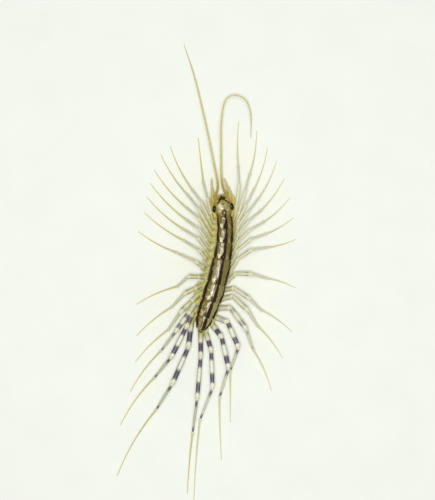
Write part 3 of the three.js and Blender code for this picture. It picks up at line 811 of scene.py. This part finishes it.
def from_segment(station, across, start, end):
    """Distance to a segment and the share along it, in the head's plan."""
    run = (end[0] - start[0], end[1] - start[1])
    gone = (station - start[0], across - start[1])
    share = clamp((gone[0] * run[0] + gone[1] * run[1]) / (run[0] ** 2 + run[1] ** 2))
    return hypot(gone[0] - share * run[0], gone[1] - share * run[1]), share


def head_detail(station, across, top, place):
    """Height added to the head's surface, and how dark, pale and warm it is; the pale is partly painted
    highlight, on the bosses, on the dark knob and left of the middle.
    """
    front = 0.7 * (1 - smooth(station, 0.2, 1.1))
    if not top:
        return 0.0, (0.0, 0.0, front)
    wave = 0.08 * grain(place, 1.8, 2.2)
    added, dark, warm = 0.0, 0.0, front
    for end in V_ENDS:
        away, share = from_segment(station, across, V_APEX, end)
        width = lerp(0.24, 0.15, share) + 0.1 * bell(share, 0.38, 0.15) + 2.2 * wave
        dark = max(dark, 1 - smooth(away, width - 0.05, width + 0.05))
        added -= 0.04 * bell(away, 0, 0.09)
    patch = hypot((station - 2.5) / 0.75, (across - 0.05) / 0.3)
    knob = hypot((station - 3.85) / 0.78, (across - 0.08) / 0.5)
    dark = max(dark, 0.9 * (1 - smooth(patch + 3 * wave, 0.75, 1.1)))
    dark = max(dark, 1 - smooth(knob + 2 * wave, 0.85, 1.1))
    # Painted highlight: a lighter spot in the middle of the dark knob
    dark -= 0.6 * bell(hypot(station - 3.95, across - 0.12), 0, 0.16)
    rear = smooth(station, 3.7, 4.4) * smooth(abs(across), 1.0, 1.25)
    dark = max(dark, 0.9 * rear * (1 - smooth(abs(across), 1.5, 1.7)))
    # A pale patch left of the middle, stronger than its twin on the right, partly pale colour and partly
    # painted highlight
    pale = bell(station, 2.35, 0.55) * bell(across, -0.65, 0.4)
    pale += 0.3 * bell(station, 2.3, 0.4) * bell(across, 0.55, 0.25)
    for boss_station, boss_across in BOSSES:
        boss = bell(hypot(station - boss_station, across - boss_across), 0, 0.24)
        added += 0.07 * boss
        pale = max(pale, 0.75 * smooth(boss, 0.45, 0.8))
    added += 0.1 * bell(knob, 0, 0.8) - 0.03 * bell(station, 3.75, 0.07) * (1 - bell(across, 0, 0.5))
    for side in (-1, 1):
        root = hypot(station - ANTENNA_ROOT["station"], across - side * ANTENNA_ACROSS)
        socket = hypot((station - EYE_STATION) / 0.85, (across - side * EYE_ACROSS) / 0.5)
        added += 0.08 * bell(root, 0.42, 0.09) + 0.04 * bell(socket, 1.15, 0.16)
        added -= 0.16 * bell(socket, 0, 0.75)
        warm = max(warm, bell(root, 0.3, 0.5))
    return added, (clamp(dark), clamp(pale * (1 - dark)), clamp(warm))


def make_head(material):
    shape = Shape("dark", "pale", "warm")
    rings = []
    for row in range(1, HEAD_ROWS + 1):
        station = HEAD_LENGTH * (1 - cos(0.5 * pi * row / HEAD_ROWS))
        _, _, right, up = body_frame(station)
        ring = []
        for angle in turns_of(HEAD_SIDES):
            across, height = head_outline(station, angle)
            place = body_point(station, across, height)
            added, values = head_detail(station, across, height > 0, place)
            out = turned(right, up, angle).normalized()
            ring.append(shape.point(place + out * added, values))
        rings.append(ring)
    collar = []
    collar_station = HEAD_LENGTH + 0.05
    for angle in turns_of(HEAD_SIDES):
        across, height = head_outline(HEAD_LENGTH, angle)
        collar.append(shape.point(body_point(collar_station, 0.8 * across, 0.8 * height), (0.5, 0, 0)))
    rings.append(collar)
    start = shape.point(body_point(0, 0, 0), (0, 0, 0.7))
    end = shape.point(body_point(collar_station, 0, 0), (0.5, 0, 0))
    shape.tube(rings, start, end)
    add_mouth(shape)
    add_head_bristles(shape)
    make_piece("head_fine", shape, material, "head", "head")


# Upper lip, jaws and first maxillae: station, distance across, height and half sizes
MOUTH_PARTS = [
    (0.42, 0.0, -0.42, (0.62, 0.42, 0.2)),
    (1.0, 0.42, -0.98, (0.38, 0.62, 0.26)), (1.0, -0.42, -0.98, (0.38, 0.62, 0.26)),
    (2.1, 0.5, -1.12, (0.42, 0.8, 0.24)), (2.1, -0.5, -1.12, (0.42, 0.8, 0.24)),
    (1.5, 1.1, -0.82, (0.34, 0.7, 0.3)), (1.5, -1.1, -0.82, (0.34, 0.7, 0.3)),
]


def add_mouth(shape):
    for station, across, height, sizes in MOUTH_PARTS:
        _, back, right, up = body_frame(station)
        add_blob(shape, body_point(station, across, height), right, back, up, sizes, (0.1, 0.1, 0.8))


def add_head_bristles(shape):
    draw = random.Random(7)
    for _ in range(HEAD_BRISTLES):
        station, angle = draw.uniform(0.15, 4.3), draw.uniform(0.05, pi - 0.05)
        across, height = head_outline(station, angle)
        if hypot((station - EYE_STATION) / 0.8, (abs(across) - EYE_ACROSS) / 0.5) < 1:
            continue
        _, back, right, up = body_frame(station)
        out = (turned(right, up, angle) + back * 0.5).normalized()
        root = body_point(station, across, height)
        add_spine(shape, root, out, draw.uniform(0.08, 0.16), 0.014, (0.3, 0, 0.4))


def spread_lenses():
    """The directions of an eye's small lenses, spread evenly."""
    lenses = kdtree.KDTree(EYE_LENSES)
    for number in range(EYE_LENSES):
        z = 1 - 2 * (number + 0.5) / EYE_LENSES
        ring, turn = sqrt(1 - z * z), pi * (3 - sqrt(5)) * number
        lenses.insert(Vector((ring * cos(turn), ring * sin(turn), z)), number)
    lenses.balance()
    return lenses


def make_eye(side, material):
    """A compound eye: an egg with small raised lenses."""
    name = sided("eye", side)
    shape = Shape("rim")
    origin, _, right, up = body_frame(EYE_STATION)
    center = origin + right * (side * EYE_ACROSS) + up * EYE_HEIGHT
    lenses = spread_lenses()
    cos_turn, sin_turn = cos(side * EYE_TURN), sin(side * EYE_TURN)

    def add(out):
        (_, _, first), (_, _, second) = lenses.find_n(out, 2)
        lens = clamp((second - first) / 0.08)
        grow = 1 + 0.028 * (smooth(lens, 0, 1) - 0.5)
        x, y, z = (part * size * grow for part, size in zip(out, EYE_HALF_SIZE))
        place = Vector((x * cos_turn - y * sin_turn, x * sin_turn + y * cos_turn, z))
        return shape.point(center + place, (1 - smooth(lens, 0.0, 0.5),))

    rows = []
    for row in range(1, EYE_ROWS):
        tilt = pi * row / EYE_ROWS
        size, z = sin(tilt), cos(tilt)
        rows.append([add(Vector((size * x, size * y, z))) for x, y in circle(EYE_COLUMNS)])
    shape.tube(rows, add(UP), add(-UP))
    make_piece(f"{name}_fine", shape, material, "eye", name)


# Legs

RIGHT_LAG = 0.6
COXA_DEPTH = 0.35


def hip(side, index):
    """Face and outward direction of a hip: the last pair grows from the trunk's rear face."""
    if index == LAST_LEG:
        facing = Vector((0, -1, 0))
        face = body_point(TRUNK_END, LAST_HIPS_ACROSS[side > 0], LAST_HIP_HEIGHT)
        return face + facing * (GAP + 0.15), facing
    angle = hip_angle(side > 0)
    facing = way_out(trunk_point, HIPS[index], angle)
    return trunk_point(HIPS[index], angle) + facing * GAP, facing


def coxa_radius(side, index):
    """Half the room a coxa has between its neighbours, and more at the rear left."""
    if index == LAST_LEG:
        return 0.5
    behind = HIPS[index + 1] - HIPS[index]
    ahead = HIPS[index] - HIPS[index - 1] if index else behind
    fuller = lerp(1, 1.35, smooth(index, 9, 12)) if side < 0 else 1
    return min(0.52 * min(ahead, behind), 0.8) * fuller


def leg_plan(side, index, knee, ankle, foot, hinge=None, rise=0.6, sweep=TARSUS_SWEEP):
    """The places of a leg's joints, its thickness and the run of its foot."""
    share = index / LAST_LEG
    last = index == LAST_LEG
    thick = 0.44 if last else lerp(0.32, 0.5, smooth(share, 0.3, 0.85))
    face, facing = hip(side, index)
    rear_length = 1.15 if side < 0 and not last else 0.5
    coxa_end = face + facing * lerp(0.85, rear_length, smooth(share, 0.6, 0.9))
    coxa_end.y -= REAR_COXA_TRAIL * smooth(share, 0.8, 1)
    if side > 0 and not last:
        swing = RIGHT_COXA_SWING * smooth(index, 1, 4) * (1 - smooth(index, 9, 12))
        coxa_end -= body_frame(HIPS[index])[1] * swing
    knee_place = Vector((*knee, lerp(8.6, 7.6, share)))
    ankle_place = Vector((*ankle, lerp(3.4, 2.8, share)))
    joint = Vector((*hinge, 0)) if hinge else coxa_end.lerp(knee_place, 0.42)
    joint.z = lerp(coxa_end.z, knee_place.z, rise)
    run_x, run_y = foot[0] - ankle[0], foot[1] - ankle[1]

    def tarsus(t, radius):
        outward = sweep * 4 * t * (1 - t) * side * copysign(1, run_y)
        height = radius if t >= FLAT_FROM else lerp(radius, ankle_place.z, (1 - t / FLAT_FROM) ** 1.5)
        x = ankle[0] + run_x * t + outward * run_y
        return Vector((x, ankle[1] + run_y * t - outward * run_x, height))

    return dict(
        thick=thick, face=face, facing=facing, coxa_end=coxa_end, joint=joint,
        knee=knee_place, ankle=ankle_place, tarsus=tarsus, tarsus_length=hypot(run_x, run_y),
    )


# Bands along the articles of a leg, as shares of the article: where each starts and ends, and how soft its
# two ends are. The rear legs have dark bands, and the middle legs faint ones, each after its strength.
DARK_BANDS = {
    "prefemur": [(0.5, 0.84, 0.06, 0.03)],
    "femur": [(0.08, 0.28, 0.02, 0.05), (0.62, 0.87, 0.05, 0.02)],
    "tibia": [(0.07, 0.22, 0.02, 0.08), (0.8, 0.92, 0.06, 0.02)],
}
FAINT_BANDS = {
    "prefemur": (0.5, 0.6, 0.84, 0.1, 0.03),
    "femur": (1.0, 0.66, 0.87, 0.1, 0.02),
    "tibia": (0.5, 0.06, 0.2, 0.02, 0.1),
}


def leg_marks(order, article, share, edge, top=1.0):
    """How dark, olive and warm a leg is along one of its articles, edge being 1 at its two sides; the olive
    towards the sides is partly side lines and partly painted shade of a clear tube's rim.
    """
    rear, middle = smooth(order, 9.3, 11.8), smooth(order, 4.0, 8.0)
    side = edge**2
    if article == "tarsus":
        return 0.0, 0.12 + 0.08 * rear, 0.8
    if article == "coxa":
        dot = bell(share, 0.78, 0.09) * bell(edge, 0.3, 0.25) if top > 0 else 0.0
        return 0.7 * middle * dot, 0.14 + 0.28 * side, 0.95
    cuff = max(1 - smooth(share, 0.0, 0.06), smooth(share, 0.9, 0.94))
    dark = sum(window(share, *band) for band in DARK_BANDS[article])
    strength, *faint_band = FAINT_BANDS[article]
    if article == "prefemur":
        dark = (dark + 0.5 * side * window(share, 0.1, 0.3, 0.05, 0.08)) * smooth(order, 10.8, 12.4)
        olive = 0.04 + (0.4 + 0.25 * middle) * side * (1 - cuff)
        warm = max(lerp(0.62, 0.12, rear), 0.95 - smooth(share, 0.12, 0.55))
    elif article == "femur":
        olive = 0.04 + (0.4 + 0.3 * middle) * side * (1 - cuff)
        warm = lerp(0.5, 0.06, rear)
    else:
        dark *= 0.92
        olive = (lerp(0.1, 0.36, rear) + 0.35 * side) * (1 - cuff)
        warm = lerp(0.45, 0.25, rear)
    faint = strength * window(share, *faint_band)
    dark = rear * dark * (0.86 + 0.14 * side) + 0.7 * middle * (1 - rear) * faint * side
    return clamp(dark), olive, max(warm, 0.34 * cuff)


def add_article(shape, order, kind, start, end, radii, sides=18, steps=26, flat=1.0, wide=None):
    """One horny tube of a leg, rounded at its base and flared at its cuff."""
    first, middle, last = radii
    axis = end - start
    length = axis.length
    heading = axis / length
    right = wide or heading.cross(UP).normalized()
    up = right.cross(heading).normalized()
    base, tip = 0.9 * first, 0.6 * last
    turns = [0.5 * pi * turn / 6 for turn in range(1, 6)]
    places = [(base * (1 - cos(turn)), sin(turn)) for turn in turns]
    places += [(lerp(base, length - tip, step / steps), 1.0) for step in range(steps + 1)]
    places += [(length - tip + tip * sin(turn), cos(turn)) for turn in turns]
    rings = []
    for along, size in places:
        share = along / length
        swell = lerp(lerp(first, middle, smooth(share, 0, 0.5)), last, smooth(share, 0.5, 1))
        cuff = length - tip - along
        swell += last * (0.1 * bell(cuff, 0.1, 0.1) - 0.06 * bell(cuff, 0.32, 0.1))
        center = start + heading * along + up * (0.02 * length * sin(pi * share))
        marks = partial(leg_marks, order, kind, share)
        rings.append(ring_of(shape, center, right, up, swell * size, sides, marks, 0.03 * size, flat))
    ends = leg_marks(order, kind, 0.0, 0.5), leg_marks(order, kind, 1.0, 0.5)
    shape.tube(rings, shape.point(start, ends[0]), shape.point(end, ends[1]))
    return heading, right, up, length


def add_article_bristles(shape, order, kind, start, frame_of, radii, draw):
    """Rows of small thorns along the five ridges of an article."""
    heading, right, up, length = frame_of
    middle = max(radii)
    count = int(length / 0.3)
    for turn in turns_of(5):
        angle = turn + 0.3 * pi
        out = turned(right, up, angle)
        for step in range(count):
            share = (step + 0.2 + 0.6 * draw.random()) / count
            if share < 0.08 or share > 0.93:
                continue
            root = start + heading * (share * length) + up * (0.02 * length * sin(pi * share))
            lean = (out + heading * 1.1).normalized()
            values = leg_marks(order, kind, share, abs(cos(angle)))
            size = middle * (0.97 if share < 0.75 else 0.9)
            values = (max(values[0], 0.25), 0.4, values[2])
            add_spine(shape, root + out * (size * 0.95), lean, draw.uniform(0.09, 0.15), 0.017, values)


def add_spurs(shape, joint, frame_of, radius, turns, length, draw):
    """Spurs that stand out around a joint, leaning towards the foot."""
    heading, right, up, _ = frame_of
    for turn in turns:
        out = turned(right, up, turn)
        root = joint + out * (radius * 0.85) - heading * 0.18
        lean = (out * 0.8 + heading * 0.75).normalized()
        size = length * draw.uniform(0.85, 1.15)
        add_spur(shape, root, lean, heading, size, 0.055, (0.12, 0.25, 0.6))


TARSUS_START = 0.18
TARSUS_RADIUS = 0.155
TARSUS_TIP = 0.075

# Length of one of a foot's rings, and its places from end to end with their sizes
ANNULUS = 0.3
ANNULUS_PROFILE = [(0.0, 0.86), (0.14, 0.98), (0.72, 1.07), (0.92, 1.0)]


def add_tarsus(shape, order, plan, draw):
    """The whip-like foot: many short rings, paired hairs below and a small claw."""
    tarsus = plan["tarsus"]
    count = round(plan["tarsus_length"] / ANNULUS)
    stations = [(-0.25, 0.7)]
    for number in range(count):
        stations += [(number + part, size) for part, size in ANNULUS_PROFILE]
    rings = []
    for station, size in stations:
        t = clamp(station / count, -0.02, 0.999)
        taper = clamp((t - 0.1) / 0.9)
        radius = lerp(TARSUS_START, TARSUS_RADIUS, smooth(t, 0, 0.12))
        radius = lerp(radius, TARSUS_TIP, taper) * size
        low = lerp(TARSUS_RADIUS, TARSUS_TIP, taper) * 1.08
        center = tarsus(max(t, 0.0), low)
        heading = (tarsus(clamp(t + 0.01), low) - tarsus(clamp(t - 0.01), low)).normalized()
        if t < 0:
            center = center + heading * (t * plan["tarsus_length"])
        right = heading.cross(UP).normalized()
        up = right.cross(heading)
        dark, olive, warm = leg_marks(order, "tarsus", t, 0.5)
        values = (dark, olive + (0.18 if size < 0.9 else 0.0), warm)
        rings.append(ring_of(shape, center, right, up, radius, 10, values))
        if size > 1.02:
            for side in (-1, 1):
                out = (right * side * 0.9 - up * 0.3 + heading * 0.9).normalized()
                root = center + right * (side * radius * 0.9)
                add_spine(shape, root, out, 0.11 * draw.uniform(0.8, 1.2), 0.013, (0.2, 0.35, 0.5))
    tip = tarsus(1.0, TARSUS_TIP)
    heading = (tip - tarsus(0.97, TARSUS_TIP)).normalized()
    start = shape.point(tarsus(0.0, TARSUS_RADIUS), (0, 0.3, 0.6))
    shape.tube(rings, start, shape.point(tip, (0.3, 0.5, 0.5)))
    claw_root = tip - heading * 0.03
    add_spur(shape, claw_root, heading, -UP * 0.3, 0.2, 0.05, (0.6, 0.5, 0.4), steps=5, sides=6)


# Articles between coxa and foot: the places they join, their radii at base, middle and end as shares of
# the leg's thickness, with 0 for the ankle's own, where spurs stand around their ends, and how long they are
ARTICLES = {
    "prefemur": ("coxa_end", "joint", (1.3, 1.08, 1.02), (0.3, 1.6, 2.8), 0.42),
    "femur": ("joint", "knee", (0.86, 1.0, 0.95), (0.1, 1.0, 2.1, 3.0), 0.42),
    "tibia": ("knee", "ankle", (0.6, 0.52, 0.0), (0.15, 3.0), 0.55),
}
ANKLE_RADIUS = 0.21


def make_leg(side, index, material):
    name = f"{sided('leg', side)}_{index + 1:02d}"
    draw = random.Random(1000 + 2 * index + (side > 0))
    plan = leg_plan(side, index, **(LEFT_LEGS if side < 0 else RIGHT_LEGS)[index])
    thick, facing = plan["thick"], plan["facing"]
    order = index - (RIGHT_LAG if side > 0 else 0.0)
    neck = min(0.95 * thick, 0.38)
    shape = Shape("dark", "olive", "warm")
    last = index == LAST_LEG
    back = body_frame(HIPS[index])[1]
    wide = Vector((1, 0, 0)) if last else (back - facing * back.dot(facing)).normalized()
    coxa = coxa_radius(side, index)
    root = plan["face"] - facing * (GAP + COXA_DEPTH)
    radii = (coxa, coxa * 1.02, coxa * 0.78)
    add_article(shape, order, "coxa", root, plan["coxa_end"], radii, 22, 16, 0.85, wide)
    bulge = 0.0 if last else (1.0 if side < 0 else 0.5)
    knuckle = (max(neck * 1.25, 0.86 * coxa), 0.5 + 0.35 * bulge, neck * (1.35 + 0.2 * bulge))
    middle = plan["coxa_end"] + facing * (0.3 * bulge)
    add_blob(shape, middle, wide, facing, wide.cross(facing), knuckle, (0.0, 0.2, 0.7))
    for kind, (base, tip, shares, spur_turns, spur_length) in ARTICLES.items():
        start, end = plan[base], plan[tip]
        radii = [thick * share or ANKLE_RADIUS for share in shares]
        heading = (end - start).normalized()
        inside = start - heading * (0.3 * radii[0])
        frame_of = add_article(shape, order, kind, inside, end + heading * (0.12 * radii[2]), radii)
        add_article_bristles(shape, order, kind, inside, frame_of, radii, draw)
        spur_length *= 0.75 + 0.5 * thick
        add_spurs(shape, end, frame_of, radii[2], spur_turns, spur_length, draw)
    add_tarsus(shape, order, plan, draw)
    # The right legs are painted paler than the left: painted light that lifts them out of the shade beside
    # the body
    if side > 0:
        shape.values = [(dark, 0.6 * olive, 0.7 * warm) for dark, olive, warm in shape.values]
    make_piece(f"{name}_fine", shape, material, "leg", name)


# Feelers and mouthparts

SPLINE_STEPS = 60
CURVE_STEPS = 1200
LIMB_STEPS = 150
SCAPE_LENGTH = 1.5
SCAPE_STEPS = 40
FEELER_ANNULUS = 0.26


def smooth_curve(guides, count):
    """Centripetal Catmull-Rom curve through the guides, as points at even steps."""
    guides = [Vector(guide) for guide in guides]
    line = [2 * guides[0] - guides[1], *guides, 2 * guides[-1] - guides[-2]]
    fine = []
    for a, b, c, d in zip(line, line[1:], line[2:], line[3:]):
        first, second, third = ((q - p).length ** 0.5 or 1.0 for p, q in ((a, b), (b, c), (c, d)))
        start = ((b - a) / first - (c - a) / (first + second) + (c - b) / second) * second
        end = ((c - b) / second - (d - b) / (second + third) + (d - c) / third) * second
        for step in range(SPLINE_STEPS):
            t = step / SPLINE_STEPS
            bend, twist = 3 * (c - b) - 2 * start - end, 2 * (b - c) + start + end
            fine.append(b + start * t + bend * t**2 + twist * t**3)
    fine.append(guides[-1])
    reached = lengths_along(fine)
    points = []
    for step in range(count + 1):
        at, part = find_length(reached, reached[-1] * step / count)
        points.append(fine[at].lerp(fine[at + 1], clamp(part)))
    return points, reached[-1]


def run_frames(points):
    """Heading, right and up at each point, carried along without a twist."""
    frames = []
    right = None
    for index, place in enumerate(points):
        heading = (points[min(index + 1, len(points) - 1)] - points[max(index - 1, 0)]).normalized()
        right = heading.cross(UP) if right is None else right - heading * right.dot(heading)
        right = right.normalized()
        frames.append((place, heading, right, right.cross(heading)))
    return frames


def feeler_stations(length):
    """Along a feeler: how far from its root, how thick, how warm, and whether a hair stands there."""
    stations = []
    for step in range(SCAPE_STEPS):
        share = step / SCAPE_STEPS
        article = (2 * share) % 1
        size = sin(0.5 * pi * clamp(article * 5)) * lerp(1, 0.82, smooth(article, 0.88, 1.0))
        stations.append((SCAPE_LENGTH * share, lerp(0.34, 0.29, share) * max(size, 0.72), 1.0, False))
    count = int((length - SCAPE_LENGTH) / FEELER_ANNULUS)
    for number in range(count):
        for part, size in ((0.0, 0.86), (0.15, 0.98), (0.75, 1.06), (0.93, 1.0)):
            gone = (number + part) / count
            thick = lerp(0.27, 0.1, gone**0.45) * lerp(1, 0.55, smooth(gone, 0.8, 1))
            along = lerp(SCAPE_LENGTH, length, gone)
            stations.append((along, thick * size, bell(gone, 0, 0.12), size > 1.02))
    return stations


def make_antenna(side, guides, material):
    name = sided("antenna", side)
    draw = random.Random(500 + side)
    root, facing = head_root(side, **ANTENNA_ROOT)
    points, length = smooth_curve([root, root + facing * 0.5, *guides], CURVE_STEPS)
    frames = run_frames(points)
    shape = Shape("dark", "warm")
    rings = []
    for along, radius, warm, haired in feeler_stations(length):
        frame_of = frames[min(int(along / length * CURVE_STEPS), CURVE_STEPS)]
        place, _, right, up = frame_of
        values = (0.25 if not haired and warm < 0.2 else 0.05, warm)
        rings.append(ring_of(shape, place, right, up, radius, 10, values))
        if haired:
            add_hair(shape, frame_of, radius * 0.9, 0.9, (0.08, 0.14), 0.012, (0.4, 0.2), draw)
    start, end = shape.point(root - facing * 0.15, (0, 1)), shape.point(points[-1], (0.3, 0))
    shape.tube(rings, start, end)
    make_piece(f"{name}_fine", shape, material, "feeler", name)


def add_limb(shape, guides, joints, radius_of, values_of, draw, hair):
    """A short jointed limb along a curve, pinched at its joints and set with bristles."""
    points, _ = smooth_curve(guides, LIMB_STEPS)
    frames = run_frames(points)
    rings = []
    for step, frame_of in enumerate(frames[:-1]):
        place, _, right, up = frame_of
        share = step / LIMB_STEPS
        pinch = sum(0.2 * bell(share, at, 0.012) - 0.12 * bell(share, at - 0.03, 0.018) for at in joints)
        radius = radius_of(share) * (1 - pinch)
        rings.append(ring_of(shape, place, right, up, radius, 16, values_of(share)))
        if step % 3 == 0 and 0.05 < share < 0.9:
            for _ in range(2):
                lengths = (0.6 * hair, 1.2 * hair)
                add_hair(shape, frame_of, radius * 0.92, 0.8, lengths, 0.018, (0.3, 0.1), draw)
    start = shape.point(points[0] - frames[0][1] * 0.05, values_of(0))
    shape.tube(rings, start, shape.point(points[-1], values_of(1)))


def make_palp(side, guides, material):
    def radius_of(share):
        tip = sqrt(max(0.05, 1 - max(0, share - 0.93) / 0.07))
        return lerp(0.4, 0.15, smooth(share, 0.15, 0.85)) * tip

    def values_of(share):
        return 0.1 + 0.2 * bell(share, 0.97, 0.03), lerp(0.3, 0.9, share)

    name = sided("palp", side)
    root, facing = head_root(side, **PALP_ROOT)
    line = [root, root + facing * 0.5, *guides]
    shape = Shape("dark", "pale")
    add_limb(shape, line, (0.24, 0.45, 0.72), radius_of, values_of, random.Random(61 + side), 0.46)
    make_piece(f"{name}_fine", shape, material, "mouthpart", name)


def make_claw(side, material):
    def radius_of(share):
        return lerp(0.6, 0.32, smooth(share, 0.45, 0.8)) * lerp(1, 0.12, smooth(share, 0.76, 1.0))

    def values_of(share):
        return 0.95 * smooth(share, 0.82, 0.93), 0.35 * (1 - share)

    name = sided("forcipule", side)
    root = body_point(5.4, side * 0.75, -0.75 * TRUNK_HALF_HEIGHT)
    line = [root, body_point(5.2, side * 0.85, -1.5)]
    for station, across, height in CLAW_LINE:
        ahead = min(station, 0)
        line.append(body_point(station - ahead, side * across, height) + body_frame(0)[1] * ahead)
    shape = Shape("dark", "pale")
    joints = (0.2, 0.46, 0.64, 0.78)
    add_limb(shape, line, joints, radius_of, values_of, random.Random(71 + side), 0.32)
    make_piece(f"{name}_fine", shape, material, "mouthpart", name)


# Floor, light and camera

def make_floor():
    size = FLOOR_HALF_WIDTH
    mesh = bpy.data.meshes.new("floor")
    corners = [(-size, -size, 0), (size, -size, 0), (size, size, 0), (-size, size, 0)]
    mesh.from_pydata(corners, [], [(0, 1, 2, 3)])
    floor = bpy.data.objects.new("floor", mesh)
    bpy.context.scene.collection.objects.link(floor)
    mesh.materials.append(floor_finish())


def make_light():
    """Soft studio light: the room, and a small and a broad lamp near the camera."""
    world = bpy.data.worlds.new("studio")
    bpy.context.scene.world = world
    world.use_nodes = True
    back = world.node_tree.nodes["Background"]
    back.inputs["Color"].default_value = ROOM_COLOUR
    back.inputs["Strength"].default_value = ROOM_LIGHT
    for name, (size, energy, shine, place) in LAMPS.items():
        lamp = bpy.data.lights.new(name, "AREA")
        lamp.shape = "DISK"
        lamp.size = size
        lamp.energy = energy
        lamp.specular_factor = shine
        lamp.color = LAMP_COLOUR
        light = bpy.data.objects.new(name, lamp)
        light.location = Vector(place)
        aim = Vector(LAMP_AIM) - light.location
        light.rotation_euler = aim.to_track_quat("-Z", "Y").to_euler()
        bpy.context.scene.collection.objects.link(light)


def make_camera():
    lens = bpy.data.cameras.new("camera")
    lens.sensor_width = SENSOR
    lens.lens = SENSOR * CAMERA_HEIGHT / VIEW_HEIGHT
    camera = bpy.data.objects.new("camera", lens)
    camera.location = (CAMERA_PLACE[0] * MM, CAMERA_PLACE[1] * MM, CAMERA_HEIGHT * MM)
    bpy.context.scene.collection.objects.link(camera)
    bpy.context.scene.camera = camera
    bpy.context.scene.view_settings.view_transform = "Standard"


make_camera()
make_light()
make_floor()

trunk_skin(trunk_finish())
shell = shell_finish()
for number in range(len(TERGITES)):
    make_plate(number, shell)
make_head(head_finish())
lens_black = eye_finish()
gold = feeler_finish()
mouth = mouth_finish()
leg = leg_finish()
for hand, feeler_guides, palp_guides in ((-1, LEFT_ANTENNA, LEFT_PALP), (1, RIGHT_ANTENNA, RIGHT_PALP)):
    make_eye(hand, lens_black)
    make_antenna(hand, feeler_guides, gold)
    make_palp(hand, palp_guides, mouth)
    make_claw(hand, mouth)
    for number in range(LEG_PAIRS):
        make_leg(hand, number, leg)
